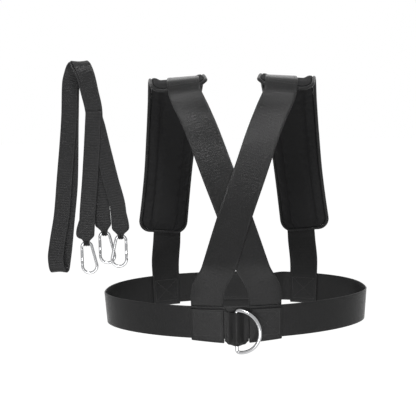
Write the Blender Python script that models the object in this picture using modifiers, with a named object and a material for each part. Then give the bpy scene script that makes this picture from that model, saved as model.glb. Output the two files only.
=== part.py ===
"""Sprint training harness worn on the torso, and its two-ended webbing lead with three snap hooks.

Metres, +Z up. The origin is the mount on the wearer's torso: midway between the sides, at the
height of the waist belt's lower edge. The wearer's side with the D-ring faces -Y.
"""
import math

import bmesh
import bpy
import numpy as np
from mathutils import Matrix, Vector

# Clearance between pieces that touch, and overrun of every cut
GAP = 0.0003
OVERRUN = 0.001

# Harness webbing
WEBBING_WIDTH = 0.050
WEBBING_THICKNESS = 0.002

# Waist belt, measured along its top edge at the middle of its thickness
BELT_HALF_WIDTH = 0.210
BELT_FRONT_DEPTH = 0.124
BELT_BACK_DEPTH = 0.154
BELT_WIDEST_Y = -0.015
BELT_FRONT_ROUNDNESS = 1.78
BELT_BACK_ROUNDNESS = 2.3
BELT_TAPER = math.radians(4)
BELT_BACK_DROP = 0.002
BELT_OVERLAP = 0.120
BELT_END_RAMP = 0.028
OVERLAP_DROP = 0.0155
OVERLAP_DROP_LENGTH = 0.070

# Hook and loop closure between the belt's overlapping ends
TAPE_LENGTH = 0.100
TAPE_WIDTH = 0.044
TAPE_THICKNESS = 0.0012

# Shoulder straps
SHOULDER_HEIGHT = 0.3896
SHOULDER_HALF_SPACING = 0.0765
BACK_STRAP_X = 0.1217
FRONT_STRAP_X = 0.0437
STRAP_BLEND_HEIGHT = 0.060
STRAP_END_SHARE = 0.92
CROSSING_LAYER = 0.0012
CROSSING_HALF_LENGTH = 0.110
CROSSING_FADE = 0.045

# Route of the left strap's middle line from the belt's back to its front, with its roll in degrees:
# shares of the half shoulder spacing, of the belt's depth on that side, and of the shoulder height
STRAP_ROUTE_SHARES = (
    (-1.550, 0.765, 0.220, 19),
    (-1.510, 0.773, 0.350, 25.5),
    (-1.412, 0.734, 0.557, 28.8),
    (-1.288, 0.610, 0.764, 22.5),
    (-1.144, 0.364, 0.927, 13.3),
    (-1.013, 0.052, 0.998, 3.7),
    (-1.000, -0.242, 0.987, 5),
    (-0.961, -0.403, 0.942, 4),
    (-0.762, -0.516, 0.854, 1.5),
    (-0.610, -0.605, 0.785, 0),
    (-0.314, -0.798, 0.629, 0),
    (0.000, -0.968, 0.466, 0),
    (0.336, -1.100, 0.269, 0),
)
BACK_ROLL_DEGREES = 13

# Shoulder pads
PAD_WIDTH = 0.0900
PAD_CORNER_RADIUS = 0.021
PAD_LOW_X = 0.1260
PAD_HIGH_X = 0.0808
PAD_LOW_HEIGHT = 0.1238
PAD_FRONT_HEIGHT = 0.3732
PAD_EDGE_FOAM = 0.0030
PAD_CROWN_FOAM = 0.0085
PAD_CHANNEL_DEPTH = 0.0038
COVER_THICKNESS = 0.001
LINING_GAP = 0.0007
PAD_SEAT_GAP = 0.0007
BINDING_RADIUS = 0.0028
PAD_ROW_LENGTH = 0.0165
CHANNEL_SHARE = 0.58
FOAM_COLUMN_SHARES = (-1.0, -0.80, -CHANNEL_SHARE, -0.32, 0.0, 0.32, CHANNEL_SHARE, 0.80, 1.0)
COVER_COLUMN_SHARES = (-1.0, -0.5, 0.0, 0.5, 1.0)

# D-ring and the webbing tunnel that keeps it on the belt
RING_WIRE_RADIUS = 0.00275
RING_INNER_HEIGHT = 0.058
RING_DEPTH = 0.0388
RING_CORNER_RADIUS = 0.004
RING_SWING = math.radians(-18)
KEEPER_DROP = 0.0085
KEEPER_SIDE_DROP = 0.0035
KEEPER_HALF_LENGTH = 0.018
KEEPER_BUMP_HALF_LENGTH = 0.0118

# Lead webbing
LEAD_WIDTH = 0.025
LEAD_THICKNESS = 0.0018
EYE_WIDTH = 0.0078
EYE_INNER_RADIUS = 0.0043
EYE_TAPER_LENGTH = 0.0135
EYE_RETURN_LENGTH = 0.036
LEAD_LAYER = LEAD_THICKNESS + GAP
EYE_RADIUS = EYE_INNER_RADIUS + LEAD_THICKNESS / 2

# Places of the lead: the peg side of its sewn join, and the three hooks' swing points
JOIN_X = -0.2162
JOIN_Y = -0.0300
JOIN_HEIGHT = 0.3370
MIDDLE_LEG_Y = -0.0240
HOOK_PLACES = (
    (-0.2345, JOIN_Y - 2 * LEAD_LAYER + EYE_RADIUS, 0.1321),
    (-0.2070, MIDDLE_LEG_Y + EYE_RADIUS, 0.1462),
    (-0.1805, JOIN_Y - LEAD_LAYER + EYE_RADIUS, 0.1416),
)
HOOK_TURNS = (0.0, 0.0, math.pi)

# How far the webbing behind each eye lies to the right of the leg
LEFT_RETURN_SHIFT = -0.0045
MIDDLE_RETURN_SHIFT = -0.0012
RIGHT_RETURN_SHIFT = 0.0025

# Middle line of the long strap: from the join over the top, down, round the lower fold,
# up again and over the top inside the first layer, and down to the middle hook
LONG_ROUTE = (
    (-0.2148, -0.0300, 0.3100), (-0.2150, -0.0300, 0.3370), (-0.2201, -0.0300, 0.3684),
    (-0.2257, -0.0295, 0.3954), (-0.2316, -0.0255, 0.4085), (-0.2382, -0.0150, 0.4150),
    (-0.2447, -0.0040, 0.4095), (-0.2500, 0.0000, 0.3970), (-0.2533, 0.0005, 0.3836),
    (-0.2565, 0.0005, 0.3350), (-0.2618, 0.0005, 0.2280), (-0.2700, 0.0012, 0.1600),
    (-0.2760, 0.0030, 0.1144), (-0.2795, 0.0030, 0.0925), (-0.2808, 0.0010, 0.0845),
    (-0.2830, -0.0045, 0.0812), (-0.2856, -0.0100, 0.0845), (-0.2873, -0.0120, 0.0925),
    (-0.2880, -0.0120, 0.1040), (-0.2853, -0.0105, 0.1250), (-0.2765, -0.0070, 0.1732),
    (-0.2702, -0.0050, 0.2293), (-0.2591, -0.0021, 0.3336), (-0.2560, -0.0021, 0.3820),
    (-0.2526, -0.0026, 0.3950), (-0.2475, -0.0062, 0.4062), (-0.2414, -0.0150, 0.4124),
    (-0.2360, -0.0232, 0.4062), (-0.2293, -0.0270, 0.3930), (-0.2234, -0.0279, 0.3684),
    (-0.2172, -0.0279, 0.3370), (-0.2140, -0.0272, 0.2700), (-0.2105, -0.0252, 0.2050),
)
LEFT_LEG_ROUTE = ((-0.2178, 0.3150), (-0.2204, 0.2840), (-0.2253, 0.2310), (-0.2312, 0.1760))
RIGHT_LEG_ROUTE = ((-0.2112, 0.3150), (-0.2036, 0.2790), (-0.1928, 0.2300), (-0.1830, 0.1860))

# Snap hook, drawn with its gate on the left and its swing point at the origin
HOOK_WIRE_RADIUS = 0.0023
HOOK_LENGTH = 0.054
HOOK_NARROW_RADIUS = 0.0080
HOOK_WIDE_RADIUS = 0.0115
GATE_PIVOT_DEPTH = 0.0110
GATE_LATCH_DEPTH = 0.0350
LATCH_TANG_RISE = 0.0014
LATCH_WIRE_DROP = 0.0022
TANG_THICKNESS = 0.0017
TANG_RADIUS = 0.0020
SLOT_DEPTH = 0.0032
PIN_RADIUS = 0.0008
LATCH_PIN_LENGTH = 0.0038
BORE_RADIUS = 0.00125
PLUNGER_RADIUS = 0.0009
PLUNGER_LENGTH = 0.0040
SPRING_RADIUS = 0.0008
SPRING_WIRE_RADIUS = 0.0002
SPRING_PITCH = 0.0011
SPRING_CURLS = 5
BORE_DEPTH = TANG_RADIUS + 3 * GAP + PLUNGER_LENGTH + SPRING_CURLS * SPRING_PITCH + 2 * SPRING_WIRE_RADIUS

# Mesh counts
OUTLINE_STEPS = 2880
BELT_SEGMENTS = 120
STRAP_SEGMENTS = 80
STRAP_COLUMNS = 3
FOLD_STEPS = 6
END_ROWS = 5
CORNER_STEPS = 4
RIBBON_STEPS = 3
TUBE_BEVEL_STEPS = 2
SPRING_POINTS = 8
ROUND_SIDES = 12
KEEPER_SEGMENTS = 16
DENSE_STEPS = 24
SMOOTH_ANGLE = math.radians(35)

# Finishes: base colour, roughness, metallic
FINISHES = {
    "webbing": ((0.030, 0.030, 0.032), 0.80, 0.0),
    "pad_fabric": ((0.018, 0.018, 0.019), 0.90, 0.0),
    "foam": ((0.060, 0.060, 0.062), 0.95, 0.0),
    "tape": ((0.022, 0.022, 0.023), 0.95, 0.0),
    "chrome": ((0.80, 0.80, 0.82), 0.15, 1.0),
    "spring_steel": ((0.55, 0.55, 0.57), 0.30, 1.0),
}


def clear_scene():
    for thing in list(bpy.data.objects):
        bpy.data.objects.remove(thing, do_unlink=True)


def new_collection(name):
    collection = bpy.data.collections.new(name)
    bpy.context.scene.collection.children.link(collection)
    return collection


def finish(name):
    """The material of that name, made once."""
    material = bpy.data.materials.get(name)
    if material is None:
        colour, roughness, metallic = FINISHES[name]
        material = bpy.data.materials.new(name)
        material.use_nodes = True
        shader = material.node_tree.nodes["Principled BSDF"]
        shader.inputs["Base Color"].default_value = (*colour, 1)
        shader.inputs["Roughness"].default_value = roughness
        shader.inputs["Metallic"].default_value = metallic
    return material


def add_object(name, data, collection, material=None, parent=None):
    thing = bpy.data.objects.new(name, data)
    collection.objects.link(thing)
    if material and not data.materials:
        data.materials.append(finish(material))
    if parent:
        thing.parent = parent
    return thing


def add_empty(name, place, turn=0.0, parent=None):
    empty = bpy.data.objects.new(name, None)
    PARTS.objects.link(empty)
    empty.location = place
    empty.rotation_euler = (0, 0, turn)
    if parent:
        empty.parent = parent
    return empty


def smooth_step(share):
    share = np.clip(share, 0, 1)
    return share * share * (3 - 2 * share)


def steady_slopes(points, chords):
    """Slopes at the points, as a weighted harmonic mean on both sides, so that no stretch swings past its ends."""
    secants = np.diff(points, axis=0) / chords[:, None]
    before, after = secants[:-1], secants[1:]
    same_way = before * after > 0
    weight_before = (2 * chords[1:] + chords[:-1])[:, None]
    weight_after = (chords[1:] + 2 * chords[:-1])[:, None]
    blend = weight_before / np.where(same_way, before, 1) + weight_after / np.where(same_way, after, 1)
    inner = np.where(same_way, (weight_before + weight_after) / blend, 0)
    return np.concatenate((secants[:1], inner, secants[-1:]))


def smooth_curve(points, steps):
    """Points along one smooth curve through the given ones, with a number of steps between each two."""
    points = np.array(points, dtype=float)
    chords = np.linalg.norm(np.diff(points[:, :3], axis=0), axis=1)
    slopes = steady_slopes(points, chords)
    curve = []
    for index, chord in enumerate(chords):
        for t in np.arange(steps) / steps:
            start = (1 + 2 * t) * (1 - t) ** 2 * points[index] + t * (1 - t) ** 2 * chord * slopes[index]
            end = t * t * (3 - 2 * t) * points[index + 1] - t * t * (1 - t) * chord * slopes[index + 1]
            curve.append(start + end)
    curve.append(points[-1])
    return np.array(curve)


def arc(centre, radius, start, end, steps):
    """Points of an arc in a plane, its angles in degrees."""
    angles = np.radians(np.linspace(start, end, steps + 1))
    return [(centre[0] + radius * math.cos(a), centre[1] + radius * math.sin(a)) for a in angles]


def grid_mesh(rows):
    """A bmesh grid whose vertices are moved to the given rows of points."""
    rows = np.array(rows)
    row_count, column_count = rows.shape[:2]
    mesh = bmesh.new()
    bmesh.ops.create_grid(mesh, x_segments=column_count - 1, y_segments=row_count - 1, size=1)
    for vertex in mesh.verts:
        column = round((vertex.co.x + 1) / 2 * (column_count - 1))
        row = round((vertex.co.y + 1) / 2 * (row_count - 1))
        vertex.co = rows[row, column]
    return mesh


def store(mesh, name):
    """Turn a bmesh into a smoothly shaded mesh of that name."""
    data = bpy.data.meshes.new(name)
    mesh.to_mesh(data)
    mesh.free()
    data.shade_smooth()
    data.set_sharp_from_angle(angle=SMOOTH_ANGLE)
    return data


def sheet(name, rows, thickness, material, parent=None):
    """Webbing or cloth: an open grid of points, thickened evenly about its middle."""
    thing = add_object(name, store(grid_mesh(rows), name), PARTS, material, parent)
    solidify = thing.modifiers.new("thickness", "SOLIDIFY")
    solidify.thickness = thickness
    solidify.offset = 0
    solidify.use_even_offset = True
    return thing


def tube(name, points, radius, closed, material, parent=None, level=TUBE_BEVEL_STEPS):
    """A round wire or piping along the points."""
    curve = bpy.data.curves.new(name, "CURVE")
    curve.dimensions = "3D"
    curve.bevel_depth = radius
    curve.bevel_resolution = level
    curve.use_fill_caps = not closed
    spline = curve.splines.new("POLY")
    spline.points.add(len(points) - 1)
    for target, point in zip(spline.points, points):
        target.co = (*point, 1)
    spline.use_cyclic_u = closed
    spline.use_smooth = True
    return add_object(name, curve, PARTS, material, parent)


def belt_outline():
    """The belt's plan from the back centre round the left, the front and the right, with its lengths."""
    angles = np.linspace(-math.pi, math.pi, OUTLINE_STEPS + 1)
    front = np.cos(angles) > 0
    power = 2 / np.where(front, BELT_FRONT_ROUNDNESS, BELT_BACK_ROUNDNESS)
    x = BELT_HALF_WIDTH * np.sign(np.sin(angles)) * np.abs(np.sin(angles)) ** power
    reach = np.abs(np.cos(angles)) ** power
    y = BELT_WIDEST_Y + np.where(front, -BELT_FRONT_DEPTH * reach, BELT_BACK_DEPTH * reach)
    lengths = np.concatenate(([0], np.cumsum(np.hypot(np.diff(x), np.diff(y)))))
    return x, y, lengths - lengths[-1] / 2


def belt_plan(along):
    """Plan point at a distance from the front centre, positive to the right."""
    return np.array([
        np.interp(along, OUTLINE_LENGTHS, OUTLINE_X, period=BELT_LENGTH),
        np.interp(along, OUTLINE_LENGTHS, OUTLINE_Y, period=BELT_LENGTH),
    ])


def belt_drop(along):
    """How far the belt hangs lower than at its front."""
    return BELT_BACK_DROP * smooth_step(belt_plan(along)[1] / BELT_BACK_DEPTH)


def belt_point(along, height, offset):
    """Point on the belt's middle surface, or at an outward offset from it."""
    probe = WEBBING_THICKNESS / 2
    place = belt_plan(along)
    tangent = belt_plan(along + probe) - belt_plan(along - probe)
    tangent = tangent / np.linalg.norm(tangent)
    outward = np.array([tangent[1], -tangent[0]])
    drop = belt_drop(along)
    place = place + outward * (offset - math.tan(BELT_TAPER) * (WEBBING_WIDTH - height))
    return np.array([place[0], place[1], height - drop])


def belt_length_to(x, back):
    """Distance along the belt from the front centre to the place on the right with that x."""
    right = OUTLINE_LENGTHS > 0
    half = right & ((OUTLINE_Y > BELT_WIDEST_Y) == back)
    order = np.argsort(OUTLINE_X[half])
    return np.interp(x, OUTLINE_X[half][order], OUTLINE_LENGTHS[half][order])


def overlap_drop(along):
    """How far the belt's outer end, closed a little askew, hangs below its inner end."""
    return OVERLAP_DROP * smooth_step((along - RAMP_START) / OVERLAP_DROP_LENGTH)


def make_belt():
    """One strip whose outer end rises over its inner end by the thickness of the closure."""
    reach = (BELT_LENGTH + BELT_OVERLAP) / 2
    rows = []
    for along in np.linspace(-reach, reach, BELT_SEGMENTS + 1):
        offset = OVERLAP_RISE * smooth_step((along - RAMP_START) / BELT_END_RAMP)
        low = -overlap_drop(along)
        rows.append([belt_point(along, height, offset) for height in (low, low + WEBBING_WIDTH)])
    sheet("belt_webbing", rows, WEBBING_THICKNESS, "webbing")


def make_tape(name, offset, drops):
    """One half of the closure at the belt's back centre. The outer one drops with the belt's outer end."""
    edge = (WEBBING_WIDTH - TAPE_WIDTH) / 2
    middle = BELT_LENGTH / 2
    steps = max(2, round(TAPE_LENGTH / PAD_ROW_LENGTH))
    rows = []
    for along in np.linspace(middle - TAPE_LENGTH / 2, middle + TAPE_LENGTH / 2, steps + 1):
        low = edge - overlap_drop(along) if drops else edge
        rows.append([belt_point(along, height, offset) for height in (low, low + TAPE_WIDTH)])
    sheet(name, rows, TAPE_THICKNESS, "tape")


def route_from_shares():
    """The left strap's middle line between its two ends on the belt's inner face, with its roll."""
    route = []
    back = -belt_length_to(BACK_STRAP_X, True)
    front = belt_length_to(FRONT_STRAP_X, False)
    for height in (0, WEBBING_WIDTH):
        route.append((*belt_point(back, height, -FOLD_RADIUS), BACK_ROLL_DEGREES))
    for x_share, y_share, z_share, roll in STRAP_ROUTE_SHARES:
        depth = BELT_BACK_DEPTH if y_share > 0 else BELT_FRONT_DEPTH
        x = x_share * SHOULDER_HALF_SPACING
        route.append((x, y_share * depth, z_share * SHOULDER_HEIGHT, roll))
    for height in (WEBBING_WIDTH, 0):
        route.append((*belt_point(front, height, -FOLD_RADIUS), 0))
    return smooth_curve(route, DENSE_STEPS)


def shoulder_tables():
    """Side profile of the harness by its unrolled length, with the strap's x, slope and roll."""
    route = route_from_shares()
    steps = np.hypot(np.diff(route[:, 1]), np.diff(route[:, 2]))
    lengths = np.concatenate(([0], np.cumsum(steps)))
    slope_y = np.gradient(route[:, 1], lengths)
    slope_z = np.gradient(route[:, 2], lengths)
    turn = np.gradient(route[:, 0], lengths)
    return lengths, np.column_stack((route, slope_y, slope_z, turn))


def profile(along):
    """x, y, z, roll in degrees, profile slope in y and z, and sideways slope of the left strap."""
    return [np.interp(along, SHOULDER_LENGTHS, column) for column in SHOULDER_TABLE.T]


def shoulder_point(x, along, offset):
    """Point on the surface that the left strap and pad share, or at an outward offset from it."""
    strap_x, y, z, roll, slope_y, slope_z, _ = profile(along)
    size = math.hypot(slope_y, slope_z)
    outward = (slope_z / size, -slope_y / size)
    roll = math.radians(roll)
    rise = math.tan(roll) * (x - strap_x) + offset * math.cos(roll)
    return np.array([x - offset * math.sin(roll), y + outward[0] * rise, z + outward[1] * rise])


def shoulder_length_at(height, front):
    """Unrolled length at which the profile passes a height, behind or in front of its top."""
    heights = SHOULDER_TABLE[:, 2]
    top = int(np.argmax(heights))
    if front:
        return np.interp(-height, -heights[top:], SHOULDER_LENGTHS[top:])
    return np.interp(height, heights[:top], SHOULDER_LENGTHS[:top])


def strap_point(along, sideways, layer):
    """Point across the left strap, blended into the belt's inner face near both ends."""
    strap_x, *_, turn = profile(along)
    angle = math.atan(turn)
    shifted = along - sideways * math.sin(angle)
    crossing = SHOULDER_LENGTHS[np.argmin(np.abs(SHOULDER_TABLE[:, 0]))]
    fade = 1 - smooth_step((crossing - CROSSING_HALF_LENGTH - shifted) / CROSSING_FADE)
    spread = math.cos(math.radians(profile(shifted)[3]))
    free = shoulder_point(strap_x + sideways * math.cos(angle) * spread, shifted, layer * fade)
    if free[1] > 0:
        place = -belt_length_to(BACK_STRAP_X, True) - sideways
    else:
        place = belt_length_to(FRONT_STRAP_X, False) + sideways
    height = free[2] + belt_drop(place)
    share = smooth_step((height - WEBBING_WIDTH) / STRAP_BLEND_HEIGHT)
    seated = belt_point(place, height, -FOLD_RADIUS)
    return (1 - share) * seated + share * free


def strap_end_rows(start, direction, columns):
    """Rows from the end on the belt's outer face, down and round its lower edge."""
    rows = []
    for height in np.linspace(STRAP_END_SHARE * WEBBING_WIDTH, 0, END_ROWS + 1)[:-1]:
        rows.append([belt_point(start + direction * w, height, FOLD_RADIUS) for w in columns])
    for angle in np.linspace(0, math.pi, FOLD_STEPS + 1)[:-1]:
        offset = FOLD_RADIUS * math.cos(angle)
        height = -FOLD_RADIUS * math.sin(angle)
        rows.append([belt_point(start + direction * w, height, offset) for w in columns])
    return rows


def make_strap(name, side, layer):
    """A shoulder strap: its ends wrap the belt's lower edge. Side -1 is the left one."""
    columns = np.linspace(-WEBBING_WIDTH / 2, WEBBING_WIDTH / 2, STRAP_COLUMNS + 1)
    back = -belt_length_to(BACK_STRAP_X, True)
    front = belt_length_to(FRONT_STRAP_X, False)
    rows = strap_end_rows(back, -1, columns)
    for along in np.linspace(0, SHOULDER_LENGTHS[-1], STRAP_SEGMENTS + 1):
        rows.append([strap_point(along, w, layer) for w in columns])
    rows.extend(reversed(strap_end_rows(front, 1, columns)))
    mirror = np.array([-side, 1, 1])
    sheet(name, np.array(rows) * mirror, WEBBING_THICKNESS, "webbing")


def pad_point(along, sideways, offset):
    """Point on the left pad's flat layout, bent over the shoulder."""
    low = shoulder_length_at(PAD_LOW_HEIGHT, False)
    high = shoulder_length_at(PAD_FRONT_HEIGHT, True)
    slope = (PAD_LOW_X - PAD_HIGH_X) / (high - low)
    angle = math.atan(slope)
    middle = -PAD_LOW_X + slope * along
    shifted = low + along - sideways * math.sin(angle)
    spread = math.cos(math.radians(profile(shifted)[3]))
    return shoulder_point(middle + sideways * math.cos(angle) * spread, shifted, offset)


def pad_length():
    return shoulder_length_at(PAD_FRONT_HEIGHT, True) - shoulder_length_at(PAD_LOW_HEIGHT, False)


def pad_rows(inset):
    """Places along the pad and its half width there, for an outline drawn in by an inset."""
    radius = PAD_CORNER_RADIUS - inset
    half = PAD_WIDTH / 2 - inset
    angles = np.linspace(0, math.pi / 2, CORNER_STEPS + 1)
    starts = [(inset + radius * (1 - math.cos(a)), half - radius * (1 - math.sin(a))) for a in angles]
    length = pad_length()
    steps = max(2, round((length - 2 * PAD_CORNER_RADIUS) / PAD_ROW_LENGTH))
    middle = np.linspace(PAD_CORNER_RADIUS, length - PAD_CORNER_RADIUS, steps + 1)[1:-1]
    ends = [(length - place, width) for place, width in reversed(starts)]
    return starts + [(place, half) for place in middle] + ends


def foam_thickness(share, place, length):
    """Foam under a place: crowned between the edges, pinched at the two sewn channels and the ends."""
    crown = (1 - share ** 4) * smooth_step(min(place, length - place) / PAD_CORNER_RADIUS)
    thickness = PAD_EDGE_FOAM + (PAD_CROWN_FOAM - PAD_EDGE_FOAM) * crown
    if math.isclose(abs(share), CHANNEL_SHARE):
        thickness = max(PAD_EDGE_FOAM, thickness - PAD_CHANNEL_DEPTH)
    return thickness


def make_foam(name, rows, mirror):
    """The pad's core: a grid on its outer side, extruded and moved to its crowned inner side."""
    outer = (np.array([row[0] for row in rows]) * mirror)
    inner = (np.array([row[1] for row in rows]) * mirror)
    mesh = grid_mesh(outer)
    targets = {Vector(near).freeze(): far for near, far in zip(outer.reshape(-1, 3), inner.reshape(-1, 3))}
    result = bmesh.ops.extrude_face_region(mesh, geom=list(mesh.faces), use_keep_orig=True)
    for vertex in [item for item in result["geom"] if isinstance(item, bmesh.types.BMVert)]:
        vertex.co = targets[vertex.co.copy().freeze()]
    bmesh.ops.recalc_face_normals(mesh, faces=list(mesh.faces))
    return add_object(name, store(mesh, name), PARTS, "foam")


def make_pad(prefix, side):
    """A shoulder pad under its strap: outer cover, foam, quilted inner cover and edge binding."""
    mirror = np.array([-side, 1, 1])
    outer_face = WEBBING_THICKNESS / 2 + PAD_SEAT_GAP
    foam_face = outer_face + COVER_THICKNESS + GAP
    inset = 2 * BINDING_RADIUS + GAP
    length = pad_length()
    layout = pad_rows(inset)
    cover, foam, lining = [], [], []
    for place, half in layout:
        cover.append([pad_point(place, share * half, -outer_face - COVER_THICKNESS / 2)
                      for share in COVER_COLUMN_SHARES])
        near, far, inner = [], [], []
        for share in FOAM_COLUMN_SHARES:
            depth = foam_face + foam_thickness(share, place, length)
            near.append(pad_point(place, share * half, -foam_face))
            far.append(pad_point(place, share * half, -depth))
            inner.append(pad_point(place, share * half, -depth - LINING_GAP - COVER_THICKNESS / 2))
        foam.append((near, far))
        lining.append(inner)
    sheet(f"{prefix}_pad_outer_cover", np.array(cover) * mirror, COVER_THICKNESS, "pad_fabric")
    make_foam(f"{prefix}_pad_foam", foam, mirror)
    sheet(f"{prefix}_pad_inner_cover", np.array(lining) * mirror, COVER_THICKNESS, "pad_fabric")
    edge = pad_rows(BINDING_RADIUS)
    loop = [(place, half) for place, half in edge] + [(place, -half) for place, half in reversed(edge)]
    depth = outer_face + BINDING_RADIUS
    points = [pad_point(place, half, -depth) * mirror for place, half in loop]
    tube(f"{prefix}_pad_binding", points, BINDING_RADIUS, True, "webbing", level=1)


def ring_axis():
    """Middle of the D-ring's bar, whose upper arm hangs on the keeper's top edge."""
    face = belt_point(0, WEBBING_WIDTH, WEBBING_THICKNESS / 2)
    height = WEBBING_WIDTH - KEEPER_DROP + 2 * GAP - RING_INNER_HEIGHT / 2
    return Vector((0, face[1] - GAP - RING_WIRE_RADIUS, height))


def make_ring():
    """The D-ring: a straight bar on its swing axis, two short arms and a half round."""
    half = RING_INNER_HEIGHT / 2 + RING_WIRE_RADIUS
    arm = RING_DEPTH - RING_WIRE_RADIUS - half
    corner = RING_CORNER_RADIUS
    outline = arc((corner, -half + corner), corner, 180, 270, CORNER_STEPS)
    outline += arc((arm, 0), half, -90, 90, 5 * CORNER_STEPS)
    outline += arc((corner, half - corner), corner, 90, 180, CORNER_STEPS)
    holder = add_empty("d_ring_axis", ring_axis(), RING_SWING)
    tube("d_ring", [(x, 0, z) for x, z in outline], RING_WIRE_RADIUS, True, "chrome", holder)


def make_keeper():
    """Webbing laid over the D-ring's bar and sewn to the belt on both sides of it."""
    top = 2 * RING_WIRE_RADIUS + WEBBING_THICKNESS + 2 * GAP
    rows = []
    for along in np.linspace(-KEEPER_HALF_LENGTH, KEEPER_HALF_LENGTH, KEEPER_SEGMENTS + 1):
        share = min(1, abs(along) / KEEPER_BUMP_HALF_LENGTH)
        bump = (1 + math.cos(math.pi * share)) / 2
        side = (abs(along) - KEEPER_BUMP_HALF_LENGTH) / (KEEPER_HALF_LENGTH - KEEPER_BUMP_HALF_LENGTH)
        drop = KEEPER_DROP - (KEEPER_DROP - KEEPER_SIDE_DROP) * smooth_step(side)
        row = []
        for height in (-drop, WEBBING_WIDTH - drop):
            upright = top + math.tan(BELT_TAPER) * (WEBBING_WIDTH - height)
            row.append(belt_point(along, height, FOLD_RADIUS + (upright - FOLD_RADIUS) * bump))
        rows.append(row)
    sheet("d_ring_keeper", rows, WEBBING_THICKNESS, "webbing")


def ribbon(name, route, widths):
    """Lead webbing along a route, its width kept level where the route allows."""
    path = smooth_curve(np.column_stack((route, widths)), RIBBON_STEPS)
    centres, spans = path[:, :3], path[:, 3]
    tangents = np.gradient(centres, axis=0)
    rows = []
    for centre, span, tangent in zip(centres, spans, tangents):
        tangent = tangent / np.linalg.norm(tangent)
        across = np.array([1, 0, 0]) - tangent[0] * tangent
        across = across / np.linalg.norm(across) * span / 2
        rows.append([centre - across, centre, centre + across])
    return sheet(name, rows, LEAD_THICKNESS, "webbing")


def eye_route(place, leg_y, top, shift):
    """Route and widths from a leg round a hook's wire and back up behind the leg, a little to its side."""
    x, y, z = place
    lean_x, lean_z = top[0] - x, top[1] - z
    reach = math.hypot(lean_x, lean_z)

    def up(distance):
        return x + lean_x * distance / reach, z + lean_z * distance / reach

    near_x, near_z = up(EYE_TAPER_LENGTH)
    far_x, far_z = up(EYE_RETURN_LENGTH)
    route = [(near_x, leg_y, near_z)]
    widths = [LEAD_WIDTH]
    for around, height in arc((0, 0), EYE_RADIUS, 180, 360, CORNER_STEPS):
        route.append((x, y + around, z + height))
        widths.append(EYE_WIDTH)
    behind = leg_y + LEAD_LAYER
    route.append((near_x + shift, behind, near_z))
    route.append((far_x + shift, behind, far_z))
    return route, widths + [LEAD_WIDTH, LEAD_WIDTH]


def make_lead():
    """The long strap with the middle leg, and the fork strap folded at the sewn join."""
    left, middle, right = HOOK_PLACES
    end = LONG_ROUTE[-1]
    eye, eye_widths = eye_route(middle, middle[1] - EYE_RADIUS, (end[0], end[2]), MIDDLE_RETURN_SHIFT)
    route = list(LONG_ROUTE) + eye
    ribbon("lead_long_strap", route, [LEAD_WIDTH] * len(LONG_ROUTE) + eye_widths)

    left_y = left[1] - EYE_RADIUS
    right_y = right[1] - EYE_RADIUS
    left_eye, left_widths = eye_route(left, left_y, LEFT_LEG_ROUTE[-1], LEFT_RETURN_SHIFT)
    right_eye, right_widths = eye_route(right, right_y, RIGHT_LEG_ROUTE[-1], RIGHT_RETURN_SHIFT)
    left_leg = [(x, left_y, z) for x, z in reversed(LEFT_LEG_ROUTE)]
    right_leg = [(x, right_y, z) for x, z in RIGHT_LEG_ROUTE]
    middle_y = (left_y + right_y) / 2
    fold = [(JOIN_X, middle_y + LEAD_LAYER / 2 * side, JOIN_HEIGHT) for side in (-1, 1)]
    fold.insert(1, (JOIN_X, middle_y, JOIN_HEIGHT + LEAD_LAYER / 2))
    route = left_eye[::-1] + left_leg + fold + right_leg + right_eye
    plain = [LEAD_WIDTH] * (len(left_leg) + len(fold) + len(right_leg))
    ribbon("lead_fork_strap", route, left_widths[::-1] + plain + right_widths)


def hook_outline():
    """Middle line of the hook's wire in its own plane, from the gate's pivot to its latch."""
    narrow, wide = HOOK_NARROW_RADIUS, HOOK_WIDE_RADIUS
    line_length = HOOK_LENGTH - 2 * HOOK_WIRE_RADIUS
    top = (0, -narrow)
    bottom = (wide - narrow, -(line_length - wide))
    toward = math.atan2(bottom[1] - top[1], bottom[0] - top[0])
    tangent = math.degrees(2 * toward) - 180 + 360
    tangent = (tangent + 180) % 360 - 180
    points = [(-narrow, -GATE_PIVOT_DEPTH + HOOK_WIRE_RADIUS + GAP)]
    points += arc(top, narrow, 180, tangent, 2 * CORNER_STEPS)
    points += arc(bottom, wide, tangent, -180, 3 * CORNER_STEPS)
    points.append((-narrow, -GATE_LATCH_DEPTH - LATCH_WIRE_DROP))
    return points


def evaluated_mesh(thing):
    """The thing's mesh with its modifiers applied, its loose caps welded."""
    bpy.context.view_layer.update()
    graph = bpy.context.evaluated_depsgraph_get()
    data = bpy.data.meshes.new_from_object(thing.evaluated_get(graph))
    mesh = bmesh.new()
    mesh.from_mesh(data)
    bmesh.ops.remove_doubles(mesh, verts=list(mesh.verts), dist=WELD_DISTANCE)
    bmesh.ops.recalc_face_normals(mesh, faces=list(mesh.faces))
    mesh.to_mesh(data)
    mesh.free()
    data.shade_smooth()
    data.set_sharp_from_angle(angle=SMOOTH_ANGLE)
    return data


def box(name, size, centre):
    """A cutter or a block of the given size."""
    mesh = bmesh.new()
    bmesh.ops.create_cube(mesh, size=1)
    bmesh.ops.scale(mesh, vec=size, verts=list(mesh.verts))
    bmesh.ops.translate(mesh, vec=centre, verts=list(mesh.verts))
    return guide(name, mesh)


def rod(name, radius, length, centre, axis):
    """A cutter or a pin: a round bar about an axis through its centre."""
    mesh = bmesh.new()
    bmesh.ops.create_cone(mesh, cap_ends=True, segments=ROUND_SIDES, radius1=radius, radius2=radius, depth=length)
    turn = Matrix.Identity(3) if axis == "Z" else Matrix.Rotation(math.radians(90), 3, "X")
    bmesh.ops.rotate(mesh, matrix=turn, verts=list(mesh.verts))
    bmesh.ops.translate(mesh, vec=centre, verts=list(mesh.verts))
    return guide(name, mesh)


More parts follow.
